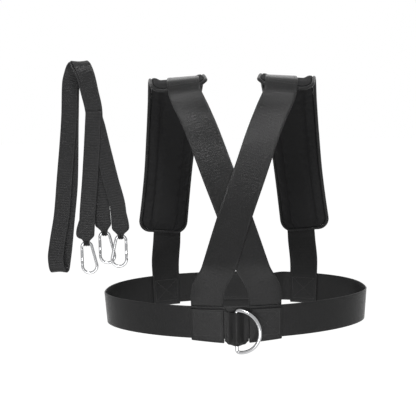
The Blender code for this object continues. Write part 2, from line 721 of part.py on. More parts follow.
def guide(name, mesh):
    thing = add_object(name, store(mesh, name), CUTTERS)
    thing.hide_render = True
    thing.display_type = "WIRE"
    return thing


def shaped(thing, joined, cut):
    """The thing's mesh after its unions and its cuts."""
    for operation, others in (("UNION", joined), ("DIFFERENCE", cut)):
        for other in others:
            boolean = thing.modifiers.new(other.name, "BOOLEAN")
            boolean.operation = operation
            boolean.solver = "EXACT"
            boolean.object = other
    return evaluated_mesh(thing)


def hook_body_mesh():
    """The bent wire with a flat tang at each end: one on the gate's pivot, one holding the latch pin."""
    side = -HOOK_NARROW_RADIUS
    points = [(x, 0, z) for x, z in hook_outline()]
    wire = tube("hook_wire", points, HOOK_WIRE_RADIUS, False, "chrome")
    body = add_object("hook_blank", evaluated_mesh(wire), CUTTERS, "chrome")
    body.hide_render = True
    body.display_type = "WIRE"
    bpy.data.objects.remove(wire)
    pivot_top = -GATE_PIVOT_DEPTH + HOOK_WIRE_RADIUS + GAP + OVERRUN
    latch_low = -GATE_LATCH_DEPTH - LATCH_WIRE_DROP - OVERRUN
    latch_top = -GATE_LATCH_DEPTH + LATCH_TANG_RISE
    width = 2 * TANG_RADIUS
    joined = [
        box("pivot_tang", (width, TANG_THICKNESS, pivot_top + GATE_PIVOT_DEPTH),
            (side, 0, (pivot_top - GATE_PIVOT_DEPTH) / 2)),
        rod("pivot_tang_end", TANG_RADIUS, TANG_THICKNESS, (side, 0, -GATE_PIVOT_DEPTH), "Y"),
        box("latch_tang", (width, TANG_THICKNESS, latch_top - latch_low), (side, 0, (latch_top + latch_low) / 2)),
    ]
    long = 2 * HOOK_WIRE_RADIUS + OVERRUN
    cut = [rod("tang_hole", PIN_RADIUS + GAP, long, (side, 0, -GATE_PIVOT_DEPTH), "Y")]
    cut.append(rod("latch_hole", PIN_RADIUS + GAP, long, (side, 0, -GATE_LATCH_DEPTH), "Y"))
    return shaped(body, joined, cut)


def gate_mesh():
    """The gate: a round bar with a domed fork on the pivot, a bore, and a notched fork at the latch."""
    radius = HOOK_WIRE_RADIUS
    low = -GATE_LATCH_DEPTH - LATCH_WIRE_DROP + GATE_PIVOT_DEPTH + GAP
    outline = arc((0, 0), radius, 90, 0, CORNER_STEPS) + [(radius, low), (0, low)]
    profile_mesh = bmesh.new()
    corners = [profile_mesh.verts.new((x, 0, z)) for x, z in outline]
    for start, end in zip(corners, corners[1:]):
        profile_mesh.edges.new((start, end))
    blank = add_object("gate_blank", store(profile_mesh, "gate_blank"), CUTTERS, "chrome")
    blank.hide_render = True
    blank.display_type = "WIRE"
    screw = blank.modifiers.new("turn", "SCREW")
    screw.steps = screw.render_steps = ROUND_SIDES
    screw.use_merge_vertices = True
    screw.merge_threshold = WELD_DISTANCE
    slot = TANG_THICKNESS + 2 * GAP
    wide = 2 * radius + OVERRUN
    latch = GATE_PIVOT_DEPTH - GATE_LATCH_DEPTH
    slot_top = latch + LATCH_TANG_RISE + GAP
    notch = 2 * (PIN_RADIUS + GAP)
    notch_end = PIN_RADIUS + GAP
    cut = [
        box("pivot_slot", (wide, slot, radius + OVERRUN + SLOT_DEPTH), (0, 0, (radius + OVERRUN - SLOT_DEPTH) / 2)),
        box("latch_slot", (wide, slot, slot_top - low + OVERRUN), (0, 0, (slot_top + low - OVERRUN) / 2)),
        box("latch_notch", (notch_end + wide / 2, wide, notch), ((notch_end - wide / 2) / 2, 0, latch)),
        rod("gate_bore", BORE_RADIUS, BORE_DEPTH, (0, 0, -BORE_DEPTH / 2), "Z"),
        rod("gate_hole", PIN_RADIUS + GAP, wide, (0, 0, 0), "Y"),
    ]
    return shaped(blank, [], cut)


def spring_points():
    """The gate spring's curls, counted down from the plunger."""
    top = -TANG_RADIUS - GAP - PLUNGER_LENGTH - GAP - SPRING_WIRE_RADIUS
    points = []
    for index in range(SPRING_CURLS * SPRING_POINTS + 1):
        turns = index / SPRING_POINTS
        angle = 2 * math.pi * turns
        points.append((SPRING_RADIUS * math.cos(angle), SPRING_RADIUS * math.sin(angle), top - SPRING_PITCH * turns))
    return points


def make_hooks():
    """Three alike snap hooks. Each one's own frame has its origin on the swing axis."""
    side = -HOOK_NARROW_RADIUS
    body = hook_body_mesh()
    gate = gate_mesh()
    pin_length = 2 * HOOK_WIRE_RADIUS - 2 * GAP
    plunger_middle = -TANG_RADIUS - GAP - PLUNGER_LENGTH / 2
    pivot_pin = rod("pivot_pin_blank", PIN_RADIUS, pin_length, (0, 0, 0), "Y").data
    latch_pin = rod("latch_pin_blank", PIN_RADIUS, LATCH_PIN_LENGTH, (0, 0, 0), "Y").data
    plunger = rod("plunger_blank", PLUNGER_RADIUS, PLUNGER_LENGTH, (0, 0, plunger_middle), "Z").data
    spring_blank = tube("spring_blank", spring_points(), SPRING_WIRE_RADIUS, False, "spring_steel", level=1)
    spring = evaluated_mesh(spring_blank)
    bpy.data.objects.remove(spring_blank)
    for number, (place, turn) in enumerate(zip(HOOK_PLACES, HOOK_TURNS), start=1):
        prefix = f"hook_{number}"
        holder = add_empty(f"{prefix}_axis", place, turn)
        hinge = add_empty(f"{prefix}_gate_axis", (side, 0, -GATE_PIVOT_DEPTH), parent=holder)
        add_object(f"{prefix}_body", body, PARTS, "chrome", holder)
        add_object(f"{prefix}_pivot_pin", pivot_pin, PARTS, "chrome", hinge)
        latch = add_object(f"{prefix}_latch_pin", latch_pin, PARTS, "chrome", holder)
        latch.location = (side, 0, -GATE_LATCH_DEPTH)
        add_object(f"{prefix}_gate", gate, PARTS, "chrome", hinge)
        add_object(f"{prefix}_gate_plunger", plunger, PARTS, "spring_steel", hinge)
        add_object(f"{prefix}_gate_spring", spring, PARTS, "spring_steel", hinge)


clear_scene()
PARTS = new_collection("resistance_sprint_trainer")
CUTTERS = new_collection("cutters")
WELD_DISTANCE = GAP / 10
FOLD_RADIUS = WEBBING_THICKNESS + GAP
LOOP_OFFSET = WEBBING_THICKNESS / 2 + GAP + TAPE_THICKNESS / 2
HOOK_OFFSET = LOOP_OFFSET + TAPE_THICKNESS + GAP
OVERLAP_RISE = HOOK_OFFSET + TAPE_THICKNESS / 2 + GAP + WEBBING_THICKNESS / 2
OUTLINE_X, OUTLINE_Y, OUTLINE_LENGTHS = belt_outline()
BELT_LENGTH = OUTLINE_LENGTHS[-1] - OUTLINE_LENGTHS[0]
RAMP_START = (BELT_LENGTH - BELT_OVERLAP) / 2 - BELT_END_RAMP - WEBBING_THICKNESS
SHOULDER_LENGTHS, SHOULDER_TABLE = shoulder_tables()

make_belt()
make_tape("belt_loop_tape", LOOP_OFFSET, False)
make_tape("belt_hook_tape", HOOK_OFFSET, True)
make_strap("left_shoulder_strap", -1, -CROSSING_LAYER)
make_strap("right_shoulder_strap", 1, CROSSING_LAYER)
make_pad("left", -1)
make_pad("right", 1)
make_keeper()
make_ring()
make_lead()
make_hooks()
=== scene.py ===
"""The look of the sprint training harness and its webbing lead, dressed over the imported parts.

Metres, +Z up, in the parts' own frame. The wearer's side with the D-ring faces -Y.
"""
import math

import bmesh
import bpy
import numpy as np
from mathutils import Matrix, Vector


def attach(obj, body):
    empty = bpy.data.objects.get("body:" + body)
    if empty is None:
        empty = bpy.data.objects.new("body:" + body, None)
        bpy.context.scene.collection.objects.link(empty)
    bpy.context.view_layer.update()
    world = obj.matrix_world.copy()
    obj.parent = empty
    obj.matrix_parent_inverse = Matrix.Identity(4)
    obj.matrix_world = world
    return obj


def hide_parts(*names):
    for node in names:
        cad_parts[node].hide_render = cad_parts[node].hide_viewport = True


# Clearance between pieces that touch
GAP = 0.0003

# The picture's left and right, and which way each lies
SIDES = (("left", -1), ("right", 1))

# Harness webbing and waist belt
WEBBING_WIDTH = 0.050
WEBBING_THICKNESS = 0.002
BELT_HALF_WIDTH = 0.210
BELT_FRONT_DEPTH = 0.124
BELT_BACK_DEPTH = 0.154
BELT_WIDEST_Y = -0.015
BELT_FRONT_ROUNDNESS = 1.78
BELT_BACK_ROUNDNESS = 2.3
BELT_TAPER = math.radians(4)
BELT_BACK_DROP = 0.002
BELT_OVERLAP = 0.120
BELT_END_RAMP = 0.028
OVERLAP_DROP = 0.0155
OVERLAP_DROP_LENGTH = 0.070
TAPE_LENGTH = 0.100
TAPE_WIDTH = 0.044
TAPE_THICKNESS = 0.0012
WEBBING_FACE = WEBBING_THICKNESS / 2
FOLD_RADIUS = WEBBING_THICKNESS + GAP
OUTER_FACE = FOLD_RADIUS + WEBBING_FACE
LOOP_OFFSET = WEBBING_FACE + GAP + TAPE_THICKNESS / 2
HOOK_OFFSET = LOOP_OFFSET + TAPE_THICKNESS + GAP
OVERLAP_RISE = HOOK_OFFSET + TAPE_THICKNESS / 2 + GAP + WEBBING_FACE

# Shoulder straps. A route row holds shares of half spacing, belt depth and height, and a roll in degrees
SHOULDER_HEIGHT = 0.3896
SHOULDER_HALF_SPACING = 0.0765
BACK_STRAP_X = 0.1217
FRONT_STRAP_X = 0.0437
STRAP_BLEND_HEIGHT = 0.060
STRAP_END_SHARE = 0.92
FOLD_SAG = 0.0036
FOLD_SAG_HEIGHT = 0.022
CROSSING_LAYER = 0.0012
CROSSING_HALF_LENGTH = 0.110
CROSSING_FADE = 0.045
STRAP_ROUTE_SHARES = (
    (-1.550, 0.765, 0.220, 19),
    (-1.510, 0.773, 0.350, 25.5),
    (-1.412, 0.734, 0.557, 28.8),
    (-1.288, 0.610, 0.764, 22.5),
    (-1.144, 0.364, 0.927, 13.3),
    (-1.013, 0.052, 0.998, 3.7),
    (-1.000, -0.242, 0.987, 5),
    (-0.961, -0.403, 0.942, 4),
    (-0.762, -0.516, 0.854, 1.5),
    (-0.610, -0.605, 0.785, 0),
    (-0.314, -0.798, 0.629, 0),
    (0.000, -0.968, 0.466, 0),
    (0.336, -1.100, 0.269, 0),
)
BACK_ROLL_DEGREES = 13

# Shoulder pads
PAD_WIDTH = 0.0900
PAD_CORNER_RADIUS = 0.021
PAD_LOW_X = 0.1260
PAD_HIGH_X = 0.0808
PAD_LOW_HEIGHT = 0.1238
PAD_FRONT_HEIGHT = 0.3732
PAD_EDGE_DEPTH = 0.0066
PAD_CROWN_DEPTH = 0.0122
PAD_CHANNEL_DEPTH = 0.0036
CHANNEL_SHARE = 0.58
CHANNEL_WIDTH_SHARE = 0.05
CHANNEL_END_RATE = 1.5
PAD_SEAT_GAP = 0.0007
BINDING_RADIUS = 0.0028
PAD_HALF_FACE = PAD_WIDTH / 2 - 2 * BINDING_RADIUS
PAD_CURL = 0.0042
PAD_CURL_START = 0.0255
PAD_CURL_WIDTH = 0.0090
PAD_CURL_REACH = 0.042
PAD_SWELL_LIMIT = 0.0045
PAD_SWELL_MARGIN = 0.0009
PAD_SEEDS = {"left": 3, "right": 8}
PUCKER_WAVES = 7
PUCKER_PITCHES = (0.011, 0.030)
PUCKER_LEAN = 0.35
PUCKER_DEPTH = 0.0011
PUCKER_REACH = 0.007
PUCKER_LEAST_DEPTH = 0.6 * PAD_EDGE_DEPTH

# Cloth settings and steps of the pads' swelling
SWELL_STEPS = 20
SWELL_SETTINGS = {
    "quality": 6,
    "mass": 0.3,
    "tension_stiffness": 12,
    "compression_stiffness": 12,
    "shear_stiffness": 4,
    "bending_stiffness": 0.25,
    "vertex_group_mass": "seams",
    "pin_stiffness": 1,
    "shrink_min": -0.035,
    "use_pressure": True,
    "uniform_pressure_force": 4,
}

# D-ring and its keeper
RING_WIRE_RADIUS = 0.00275
RING_INNER_HEIGHT = 0.058
RING_DEPTH = 0.0388
RING_CORNER_RADIUS = 0.004
RING_SWING = math.radians(-18)
KEEPER_DROP = 0.0085
KEEPER_SIDE_DROP = 0.0035
KEEPER_HALF_LENGTH = 0.018
KEEPER_BUMP_HALF_LENGTH = 0.0118

# Lead
LEAD_WIDTH = 0.025
LEAD_THICKNESS = 0.0018
EYE_WIDTH = 0.0078
EYE_INNER_RADIUS = 0.0043
EYE_TAPER_LENGTH = 0.0135
EYE_RETURN_LENGTH = 0.036
PLEAT_DEPTH = 0.0011
PLEAT_HALF_WAVES = 2.5
PLEAT_ONSET = 2.2
LEAD_LAYER = LEAD_THICKNESS + GAP
EYE_RADIUS = EYE_INNER_RADIUS + LEAD_THICKNESS / 2
JOIN_X = -0.2162
JOIN_Y = -0.0300
JOIN_HEIGHT = 0.3370
MIDDLE_LEG_Y = -0.0240
HOOK_PLACES = (
    (-0.2345, JOIN_Y - 2 * LEAD_LAYER + EYE_RADIUS, 0.1321),
    (-0.2070, MIDDLE_LEG_Y + EYE_RADIUS, 0.1462),
    (-0.1805, JOIN_Y - LEAD_LAYER + EYE_RADIUS, 0.1416),
)
HOOK_TURNS = (0.0, 0.0, math.pi)
LEFT_RETURN_SHIFT = -0.0045
MIDDLE_RETURN_SHIFT = -0.0012
RIGHT_RETURN_SHIFT = 0.0025
LONG_ROUTE_TENTHS_MM = (
    (-2148, -300, 3100), (-2150, -300, 3370), (-2201, -300, 3684), (-2257, -295, 3954),
    (-2316, -255, 4085), (-2382, -150, 4150), (-2447, -40, 4095), (-2500, 0, 3970),
    (-2533, 5, 3836), (-2565, 5, 3350), (-2618, 5, 2280), (-2700, 12, 1600),
    (-2760, 30, 1144), (-2795, 30, 925), (-2808, 10, 845), (-2830, -45, 812),
    (-2856, -100, 845), (-2873, -120, 925), (-2880, -120, 1040), (-2853, -105, 1250),
    (-2765, -70, 1732), (-2702, -50, 2293), (-2591, -21, 3336), (-2560, -21, 3820),
    (-2526, -26, 3950), (-2475, -62, 4062), (-2414, -150, 4124), (-2360, -232, 4062),
    (-2293, -270, 3930), (-2234, -279, 3684), (-2172, -279, 3370), (-2140, -272, 2700),
    (-2105, -252, 2050),
)
LONG_ROUTE = [tuple(tenths / 10000 for tenths in place) for place in LONG_ROUTE_TENTHS_MM]
LEFT_LEG_ROUTE = ((-0.2178, 0.3150), (-0.2204, 0.2840), (-0.2253, 0.2310), (-0.2312, 0.1760))
RIGHT_LEG_ROUTE = ((-0.2112, 0.3150), (-0.2036, 0.2790), (-0.1928, 0.2300), (-0.1830, 0.1860))

# Snap hooks. Depths are below the top of the wire's middle line, and a blank runs past what it joins
# or cuts by the overrun
HOOK_WIRE_RADIUS = 0.0023
HOOK_LENGTH = 0.054
HOOK_NARROW_RADIUS = 0.0080
HOOK_WIDE_RADIUS = 0.0115
GATE_PIVOT_DEPTH = 0.0110
GATE_LATCH_DEPTH = 0.0350
LATCH_TANG_RISE = 0.0014
LATCH_WIRE_DROP = 0.0022
TANG_THICKNESS = 0.0017
TANG_RADIUS = 0.0020
SLOT_DEPTH = 0.0032
PIN_RADIUS = 0.0008
RIVET_RADIUS = 0.0013
RIVET_RISE = 0.00035
RIVET_SINK = 0.0001
RIVET_HEAD_SHARES = ((0, 1), (0.5, 0.85), (0.85, 0.45), (1, 0))
RIVET_HEAD_DEPTH = 0.0005
HOOK_BEVEL = 0.00014
WIRE_END = -GATE_LATCH_DEPTH - LATCH_WIRE_DROP
OVERRUN = 0.001

# Seams: where they lie, mostly as a distance inside the edges of their webbing
BELT_SEAM_INSET = 0.0055
CLOSURE_SEAM_INSET = 0.003
STRAP_SEAM_INSET = 0.0045
PAD_SEAM_BACK_INSET = 0.010
PAD_SEAM_FRONT_INSET = 0.006
KEEPER_SEAM_INSET = 0.004
KEEPER_SEAM_PLACES = (-0.0165, -0.0140, 0.0140, 0.0165)
CHANNEL_SEAM_INSET = 2.4 * BINDING_RADIUS + 0.006
LEAD_SEAM_INSET = 0.0035
EYE_SEAM_LOW = EYE_TAPER_LENGTH + 0.004
EYE_SEAM_HIGH = EYE_RETURN_LENGTH - 0.002
EYE_SEAM_INSET = 0.003

# Thread
THREAD_RADIUS = 0.00026
THREAD_RISE_SHARE = 1.6
THREAD_SINK_SHARE = 1.1
STITCH_LENGTH = 0.0030

# Fine meshes
TINY = 1e-12
MERGE_DISTANCE = 1e-6
PROBE = 0.0005
NEARLY_PARALLEL = 0.1
OUTLINE_STEPS = 2880
DENSE_STEPS = 24
ROW_STEP = 0.003
EDGE_RADIUS = 0.0009
EDGE_DEGREES = (0, 35, 65, 90)
COLUMN_STEP = 0.0036
FOLD_STEPS = 12
RIBBON_STEPS = 9
EYE_STEPS = 4
ROUND_SIDES = 40
THREAD_STEP = 0.0006
THREAD_SIDES = 5
SMOOTH_DEGREES = 50
METAL_SMOOTH_DEGREES = 35
METAL_BEVEL_DEGREES = 40

# Camera, fitted to the photograph
IMAGE_PIXELS = 416
FOCAL_PIXELS = 950
SENSOR_WIDTH = 36
CENTRE_PIXELS = 227.9
CAMERA_PLACE = (-0.010, -1.515, 0.376)
CAMERA_PITCH = math.radians(7.4)
CAMERA_ROLL = math.radians(0.95)

# Studio. A light has a name, place, target, size and power in watts
WHITE = (1, 1, 1, 1)
WORLD_LEVEL = 0.18
FLOOR_HEIGHT = -0.90
FLOOR_HALF_SIZE = 20
FLOOR_GREY = 0.82
FLOOR_LIFT = 0.88
LIGHTS = (
    ("key", (-0.10, -0.95, 1.42), (0, -0.08, 0.26), (0.4, 0.4), 20),
    ("top", (0.3, 0.3, 1.9), (0, 0, 0.2), (1.2, 1.2), 2),
    ("front", (-0.2, -1.8, -0.55), (0, 0, 0.05), (1.2, 0.5), 16),
)


def smooth_step(share):
    share = np.clip(share, 0, 1)
    return share * share * (3 - 2 * share)


def unit(vectors):
    return vectors / np.maximum(np.linalg.norm(vectors, axis=-1, keepdims=True), TINY)


def mirrored(points, side):
    """Points of the left side as they are, or turned over to the right side."""
    return points * np.array([-side, 1, 1])


def smooth_curve(points, steps):
    """A curve through the given points that never swings past them, with steps between each two."""
    points = np.array(points, dtype=float)
    chords = np.linalg.norm(np.diff(points[:, :3], axis=0), axis=1)[:, None]
    secants = np.diff(points, axis=0) / chords
    before, after = secants[:-1], secants[1:]
    same_way = before * after > 0
    weight_before = 2 * chords[1:] + chords[:-1]
    weight_after = chords[1:] + 2 * chords[:-1]
    blend = weight_before / np.where(same_way, before, 1) + weight_after / np.where(same_way, after, 1)
    inner = np.where(same_way, (weight_before + weight_after) / blend, 0)
    slopes = np.concatenate((secants[:1], inner, secants[-1:]))[:, None]
    points, chords = points[:, None], chords[:, None]
    t = (np.arange(steps) / steps)[:, None]
    curve = (1 + 2 * t) * (1 - t) ** 2 * points[:-1] + t * (1 - t) ** 2 * chords * slopes[:-1]
    curve = curve + (t * t * (3 - 2 * t) * points[1:] - t * t * (1 - t) * chords * slopes[1:])
    return np.concatenate((curve.reshape(-1, points.shape[-1]), points[-1]))


def arc(centre, radius, start, end, steps):
    angles = np.radians(np.linspace(start, end, steps + 1))
    return [(centre[0] + radius * math.cos(a), centre[1] + radius * math.sin(a)) for a in angles]


def path_lengths(points):
    steps = np.linalg.norm(np.diff(points, axis=0), axis=1)
    return np.concatenate(([0], np.cumsum(steps)))


def spaced(start, end):
    return np.linspace(start, end, round((end - start) / ROW_STEP) + 1)


# The belt's and the straps' surfaces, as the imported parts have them

def belt_outline():
    angles = np.linspace(-math.pi, math.pi, OUTLINE_STEPS + 1)
    front = np.cos(angles) > 0
    power = 2 / np.where(front, BELT_FRONT_ROUNDNESS, BELT_BACK_ROUNDNESS)
    x = BELT_HALF_WIDTH * np.sign(np.sin(angles)) * np.abs(np.sin(angles)) ** power
    reach = np.abs(np.cos(angles)) ** power
    y = BELT_WIDEST_Y + np.where(front, -BELT_FRONT_DEPTH * reach, BELT_BACK_DEPTH * reach)
    lengths = np.concatenate(([0], np.cumsum(np.hypot(np.diff(x), np.diff(y)))))
    return x, y, lengths - lengths[-1] / 2


def belt_plan(along):
    wrapped = (along + BELT_LENGTH / 2) % BELT_LENGTH - BELT_LENGTH / 2
    return np.stack([np.interp(wrapped, OUTLINE_LENGTHS, plan) for plan in (OUTLINE_X, OUTLINE_Y)], axis=-1)


def belt_drop(along):
    return BELT_BACK_DROP * smooth_step(belt_plan(along)[..., 1] / BELT_BACK_DEPTH)


def belt_point(along, height, offset):
    """Points on the belt's middle surface, or at an outward offset from it."""
    along, height, offset = np.broadcast_arrays(np.float64(along), np.float64(height), np.float64(offset))
    probe = WEBBING_THICKNESS / 2
    tangent = unit(belt_plan(along + probe) - belt_plan(along - probe))
    outward = np.stack((tangent[..., 1], -tangent[..., 0]), axis=-1)
    reach = offset - math.tan(BELT_TAPER) * (WEBBING_WIDTH - height)
    place = belt_plan(along) + outward * reach[..., None]
    return np.concatenate((place, (height - belt_drop(along))[..., None]), axis=-1)


def belt_length_to(x, back):
    """The place along the right half of the belt's back, or of its front, that has this x."""
    half = (OUTLINE_LENGTHS > 0) & ((OUTLINE_Y > BELT_WIDEST_Y) == back)
    order = np.argsort(OUTLINE_X[half])
    return np.interp(x, OUTLINE_X[half][order], OUTLINE_LENGTHS[half][order])


def shoulder_tables():
    """Lengths along the left strap, and its x, y, z, roll in degrees, and slopes of y, z and x there."""
    edges = (0, WEBBING_WIDTH)
    route = [(*belt_point(BACK_END, height, -FOLD_RADIUS), BACK_ROLL_DEGREES) for height in edges]
    for x_share, y_share, z_share, roll in STRAP_ROUTE_SHARES:
        depth = BELT_BACK_DEPTH if y_share > 0 else BELT_FRONT_DEPTH
        route.append((x_share * SHOULDER_HALF_SPACING, y_share * depth, z_share * SHOULDER_HEIGHT, roll))
    route += [(*belt_point(FRONT_END, height, -FOLD_RADIUS), 0) for height in edges[::-1]]
    route = smooth_curve(route, DENSE_STEPS)
    lengths = path_lengths(route[:, 1:3])
    slopes = [np.gradient(route[:, column], lengths) for column in (1, 2, 0)]
    return lengths, np.column_stack((route, *slopes))


def profile(along):
    return [np.interp(along, SHOULDER_LENGTHS, column) for column in SHOULDER_TABLE.T]


def shoulder_point(x, along, offset):
    """Points on the surface that the left strap and pad share, or at an outward offset from it."""
    strap_x, y, z, roll, slope_y, slope_z, _ = profile(along)
    size = np.hypot(slope_y, slope_z)
    roll = np.radians(roll)
    rise = np.tan(roll) * (x - strap_x) + offset * np.cos(roll)
    x = x - offset * np.sin(roll)
    return np.stack((x, y + slope_z / size * rise, z - slope_y / size * rise), axis=-1)


def shoulder_length_at(height, front):
    heights = SHOULDER_TABLE[:, 2]
    top = int(np.argmax(heights))
    if front:
        return np.interp(-height, -heights[top:], SHOULDER_LENGTHS[top:])
    return np.interp(height, heights[:top], SHOULDER_LENGTHS[:top])


def strap_point(along, sideways, layer):
    """Points across the left strap, blended into the belt's inner face near both ends."""
    along, sideways = np.broadcast_arrays(np.float64(along), np.float64(sideways))
    strap_x, *_, turn = profile(along)
    angle = np.arctan(turn)
    shifted = along - sideways * np.sin(angle)
    crossing = SHOULDER_LENGTHS[np.argmin(np.abs(SHOULDER_TABLE[:, 0]))]
    fade = 1 - smooth_step((crossing - CROSSING_HALF_LENGTH - shifted) / CROSSING_FADE)
    spread = np.cos(np.radians(profile(shifted)[3]))
    free = shoulder_point(strap_x + sideways * np.cos(angle) * spread, shifted, layer * fade)
    place = np.where(free[..., 1] > 0, BACK_END - sideways, FRONT_END + sideways)
    height = free[..., 2] + belt_drop(place)
    share = smooth_step((height - WEBBING_WIDTH) / STRAP_BLEND_HEIGHT)[..., None]
    return (1 - share) * belt_point(place, height, -FOLD_RADIUS) + share * free


def strap_face(along, sideways, layer, offset):
    """Points off the left strap's outer face, along its own normal."""
    down = strap_point(along + PROBE, sideways, layer) - strap_point(along - PROBE, sideways, layer)
    over = strap_point(along, sideways + PROBE, layer) - strap_point(along, sideways - PROBE, layer)
    outward = unit(np.cross(down, over))
    return strap_point(along, sideways, layer) + outward * np.asarray(offset)[..., None]


def pad_point(along, sideways, depth):
    """Points of the left pad's flat layout at a depth, bent over the shoulder with its edges curled."""
    top = SHOULDER_LENGTHS[np.argmax(SHOULDER_TABLE[:, 2])] - PAD_START
    beside = smooth_step((np.abs(sideways) - PAD_CURL_START) / PAD_CURL_WIDTH)
    curl = PAD_CURL * beside * smooth_step(1 - np.abs(along - top) / PAD_CURL_REACH)
    slope = (PAD_LOW_X - PAD_HIGH_X) / PAD_LENGTH
    angle = math.atan(slope)
    middle = -PAD_LOW_X + slope * along
    shifted = PAD_START + along - sideways * math.sin(angle)
    spread = np.cos(np.radians(profile(shifted)[3]))
    return shoulder_point(middle + sideways * math.cos(angle) * spread, shifted, curl - depth)


# Materials

def grey(level):
    return level, level, level, 1


class Nodes:
    """A short way to write a node tree. Sockets and plain values are put into inputs alike."""

    def __init__(self, tree):
        self.tree = tree

    def fill(self, node, inputs):
        for key, value in inputs.items():
            target = node.inputs[key if isinstance(key, int) else key.replace("_", " ")]
            if isinstance(value, bpy.types.NodeSocket):
                self.tree.links.new(value, target)
            else:
                target.default_value = value

    def add(self, kind, settings=None, **inputs):
        """The outputs of a new node."""
        node = self.tree.nodes.new(kind)
        for key, value in (settings or {}).items():
            setattr(node, key, value)
        self.fill(node, inputs)
        return node.outputs

    def math(self, operation, *values):
        node = self.tree.nodes.new("ShaderNodeMath")
        node.operation = operation
        self.fill(node, dict(enumerate(values)))
        return node.outputs[0]

    def total(self, first, *others):
        for other in others:
            first = self.math("ADD", first, other)
        return first

    def product(self, first, *others):
        for other in others:
            first = self.math("MULTIPLY", first, other)
        return first

    def wave(self, value, pitch):
        return self.math("SINE", self.product(value, 2 * math.pi / pitch))

    def spread(self, value, low, high):
        """Map 0 to 1 onto low to high."""
        return self.math("MULTIPLY_ADD", value, high - low, low)

    def uv(self):
        """Across and along coordinates in metres, from the mesh's UV map."""
        uv_map = self.add("ShaderNodeUVMap", {"uv_map": "UVMap"})
        split = self.add("ShaderNodeSeparateXYZ", Vector=uv_map[0])
        return split[0], split[1]

    def noise(self, vector, scale, detail, roughness):
        node = self.add("ShaderNodeTexNoise", Vector=vector, Scale=scale, Detail=detail, Roughness=roughness)
        return node[0]


class Finish(Nodes):
    """A new material's nodes around its Principled shader."""

    def __init__(self, name, colour, **inputs):
        self.material = bpy.data.materials.new(name)
        self.material.use_nodes = True
        super().__init__(self.material.node_tree)
        self.colour = colour
        self.set(Base_Color=(*colour, 1), **inputs)

    def set(self, **inputs):
        self.fill(self.tree.nodes["Principled BSDF"], inputs)

    def place(self):
        """Position on the piece at rest, in metres."""
        return self.add("ShaderNodeTexCoord")["Object"]

    def shade(self, *factors):
        """The base colour times varying factors."""
        factor = self.product(*factors)
        tint = self.add("ShaderNodeVectorMath", {"operation": "SCALE"}, Vector=self.colour, Scale=factor)
        self.set(Base_Color=tint[0])

    def bump(self, height, distance, strength):
        self.set(Normal=self.add("ShaderNodeBump", Height=height, Distance=distance, Strength=strength)[0])


def webbing_finish(name, colour, half_width, float_length, yarn_width, rib_pitch, rib_share):
    """Heavy woven tape: staggered floats along it, faint cross ribs, a tight selvedge and a little fuzz."""
    finish = Finish(name, colour, Specular_IOR_Level=0.17, Anisotropic=0.95)
    finish.set(Tangent=finish.add("ShaderNodeTangent", {"direction_type": "UV_MAP", "uv_map": "UVMap"})[0])
    across, along = finish.uv()
    turned = finish.add("ShaderNodeCombineXYZ", X=along, Y=across)[0]
    weave = finish.add(
        "ShaderNodeTexBrick", {"offset": 0.5}, Vector=turned, Scale=1.0,
        Color1=grey(0.6), Color2=grey(1.0), Mortar=grey(0.3), Mortar_Size=yarn_width / 5, Mortar_Smooth=1.0,
        Brick_Width=float_length, Row_Height=yarn_width)
    tone = finish.add("ShaderNodeRGBToBW", Color=weave["Color"])[0]
    ribs = finish.wave(along, rib_pitch)
    cord = finish.wave(along, 0.55 * float_length)
    from_edge = finish.math("SUBTRACT", half_width, finish.math("ABSOLUTE", across))
    selvedge = finish.math("LESS_THAN", from_edge, 2.2 * yarn_width)
    floats, cord = finish.product(weave["Fac"], -1.0), finish.product(cord, 0.45)
    woven = finish.add("ShaderNodeMix", Factor=selvedge, A=floats, B=cord)[0]
    place = finish.place()
    fuzz = finish.noise(place, scale=1900, detail=3, roughness=0.65)
    slant = finish.product(finish.total(along, across), 0.45)
    slanted = finish.add("ShaderNodeCombineXYZ", X=slant, Y=finish.math("SUBTRACT", across, along))
    grain = finish.noise(slanted[0], scale=430, detail=3, roughness=0.7)
    cloud = finish.noise(place, scale=13, detail=4, roughness=0.6)
    # Lighter towards both selvedges: partly wear and fuzz, partly a painted highlight where the edges catch
    # light
    wear_and_highlight_width = 0.0016
    wear_and_edge_highlight = finish.math("MAXIMUM", finish.math("MULTIPLY_ADD", from_edge, -1 / wear_and_highlight_width, 1.0), 0.0)
    relief = ((fuzz, 0.8), (grain, 3.0), (ribs, 6 * rib_share))
    height = finish.total(woven, *(finish.product(value, share) for value, share in relief))
    finish.bump(height, distance=0.00010, strength=1.0)
    tones = ((tone, 0.45, 1.35), (cloud, 0.70, 1.30), (wear_and_edge_highlight, 1.0, 1.6), (grain, 0.35, 1.65),
             (ribs, 1.0, 1.0 + rib_share))
    finish.shade(*(finish.spread(*row) for row in tones))
    finish.set(Roughness=finish.spread(grain, 0.24, 0.36))
    return finish.material


def cloth_finish(name, colour, pitch):
    """Plain woven pad cloth: a fine basket weave and soft wear."""
    finish = Finish(name, colour, Roughness=0.80, Specular_IOR_Level=0.20)
    weave = finish.product(*(finish.wave(value, pitch) for value in finish.uv()))
    place = finish.place()
    fuzz = finish.noise(place, scale=2400, detail=3, roughness=0.7)
    finish.bump(finish.total(finish.product(weave, 0.5), fuzz), distance=0.00016, strength=0.8)
    cloud = finish.noise(place, scale=17, detail=4, roughness=0.6)
    grain = finish.noise(place, scale=330, detail=3, roughness=0.7)
    tones = ((weave, 0.86, 1.14), (cloud, 0.7, 1.3), (grain, 0.7, 1.3))
    finish.shade(*(finish.spread(*row) for row in tones))
    return finish.material


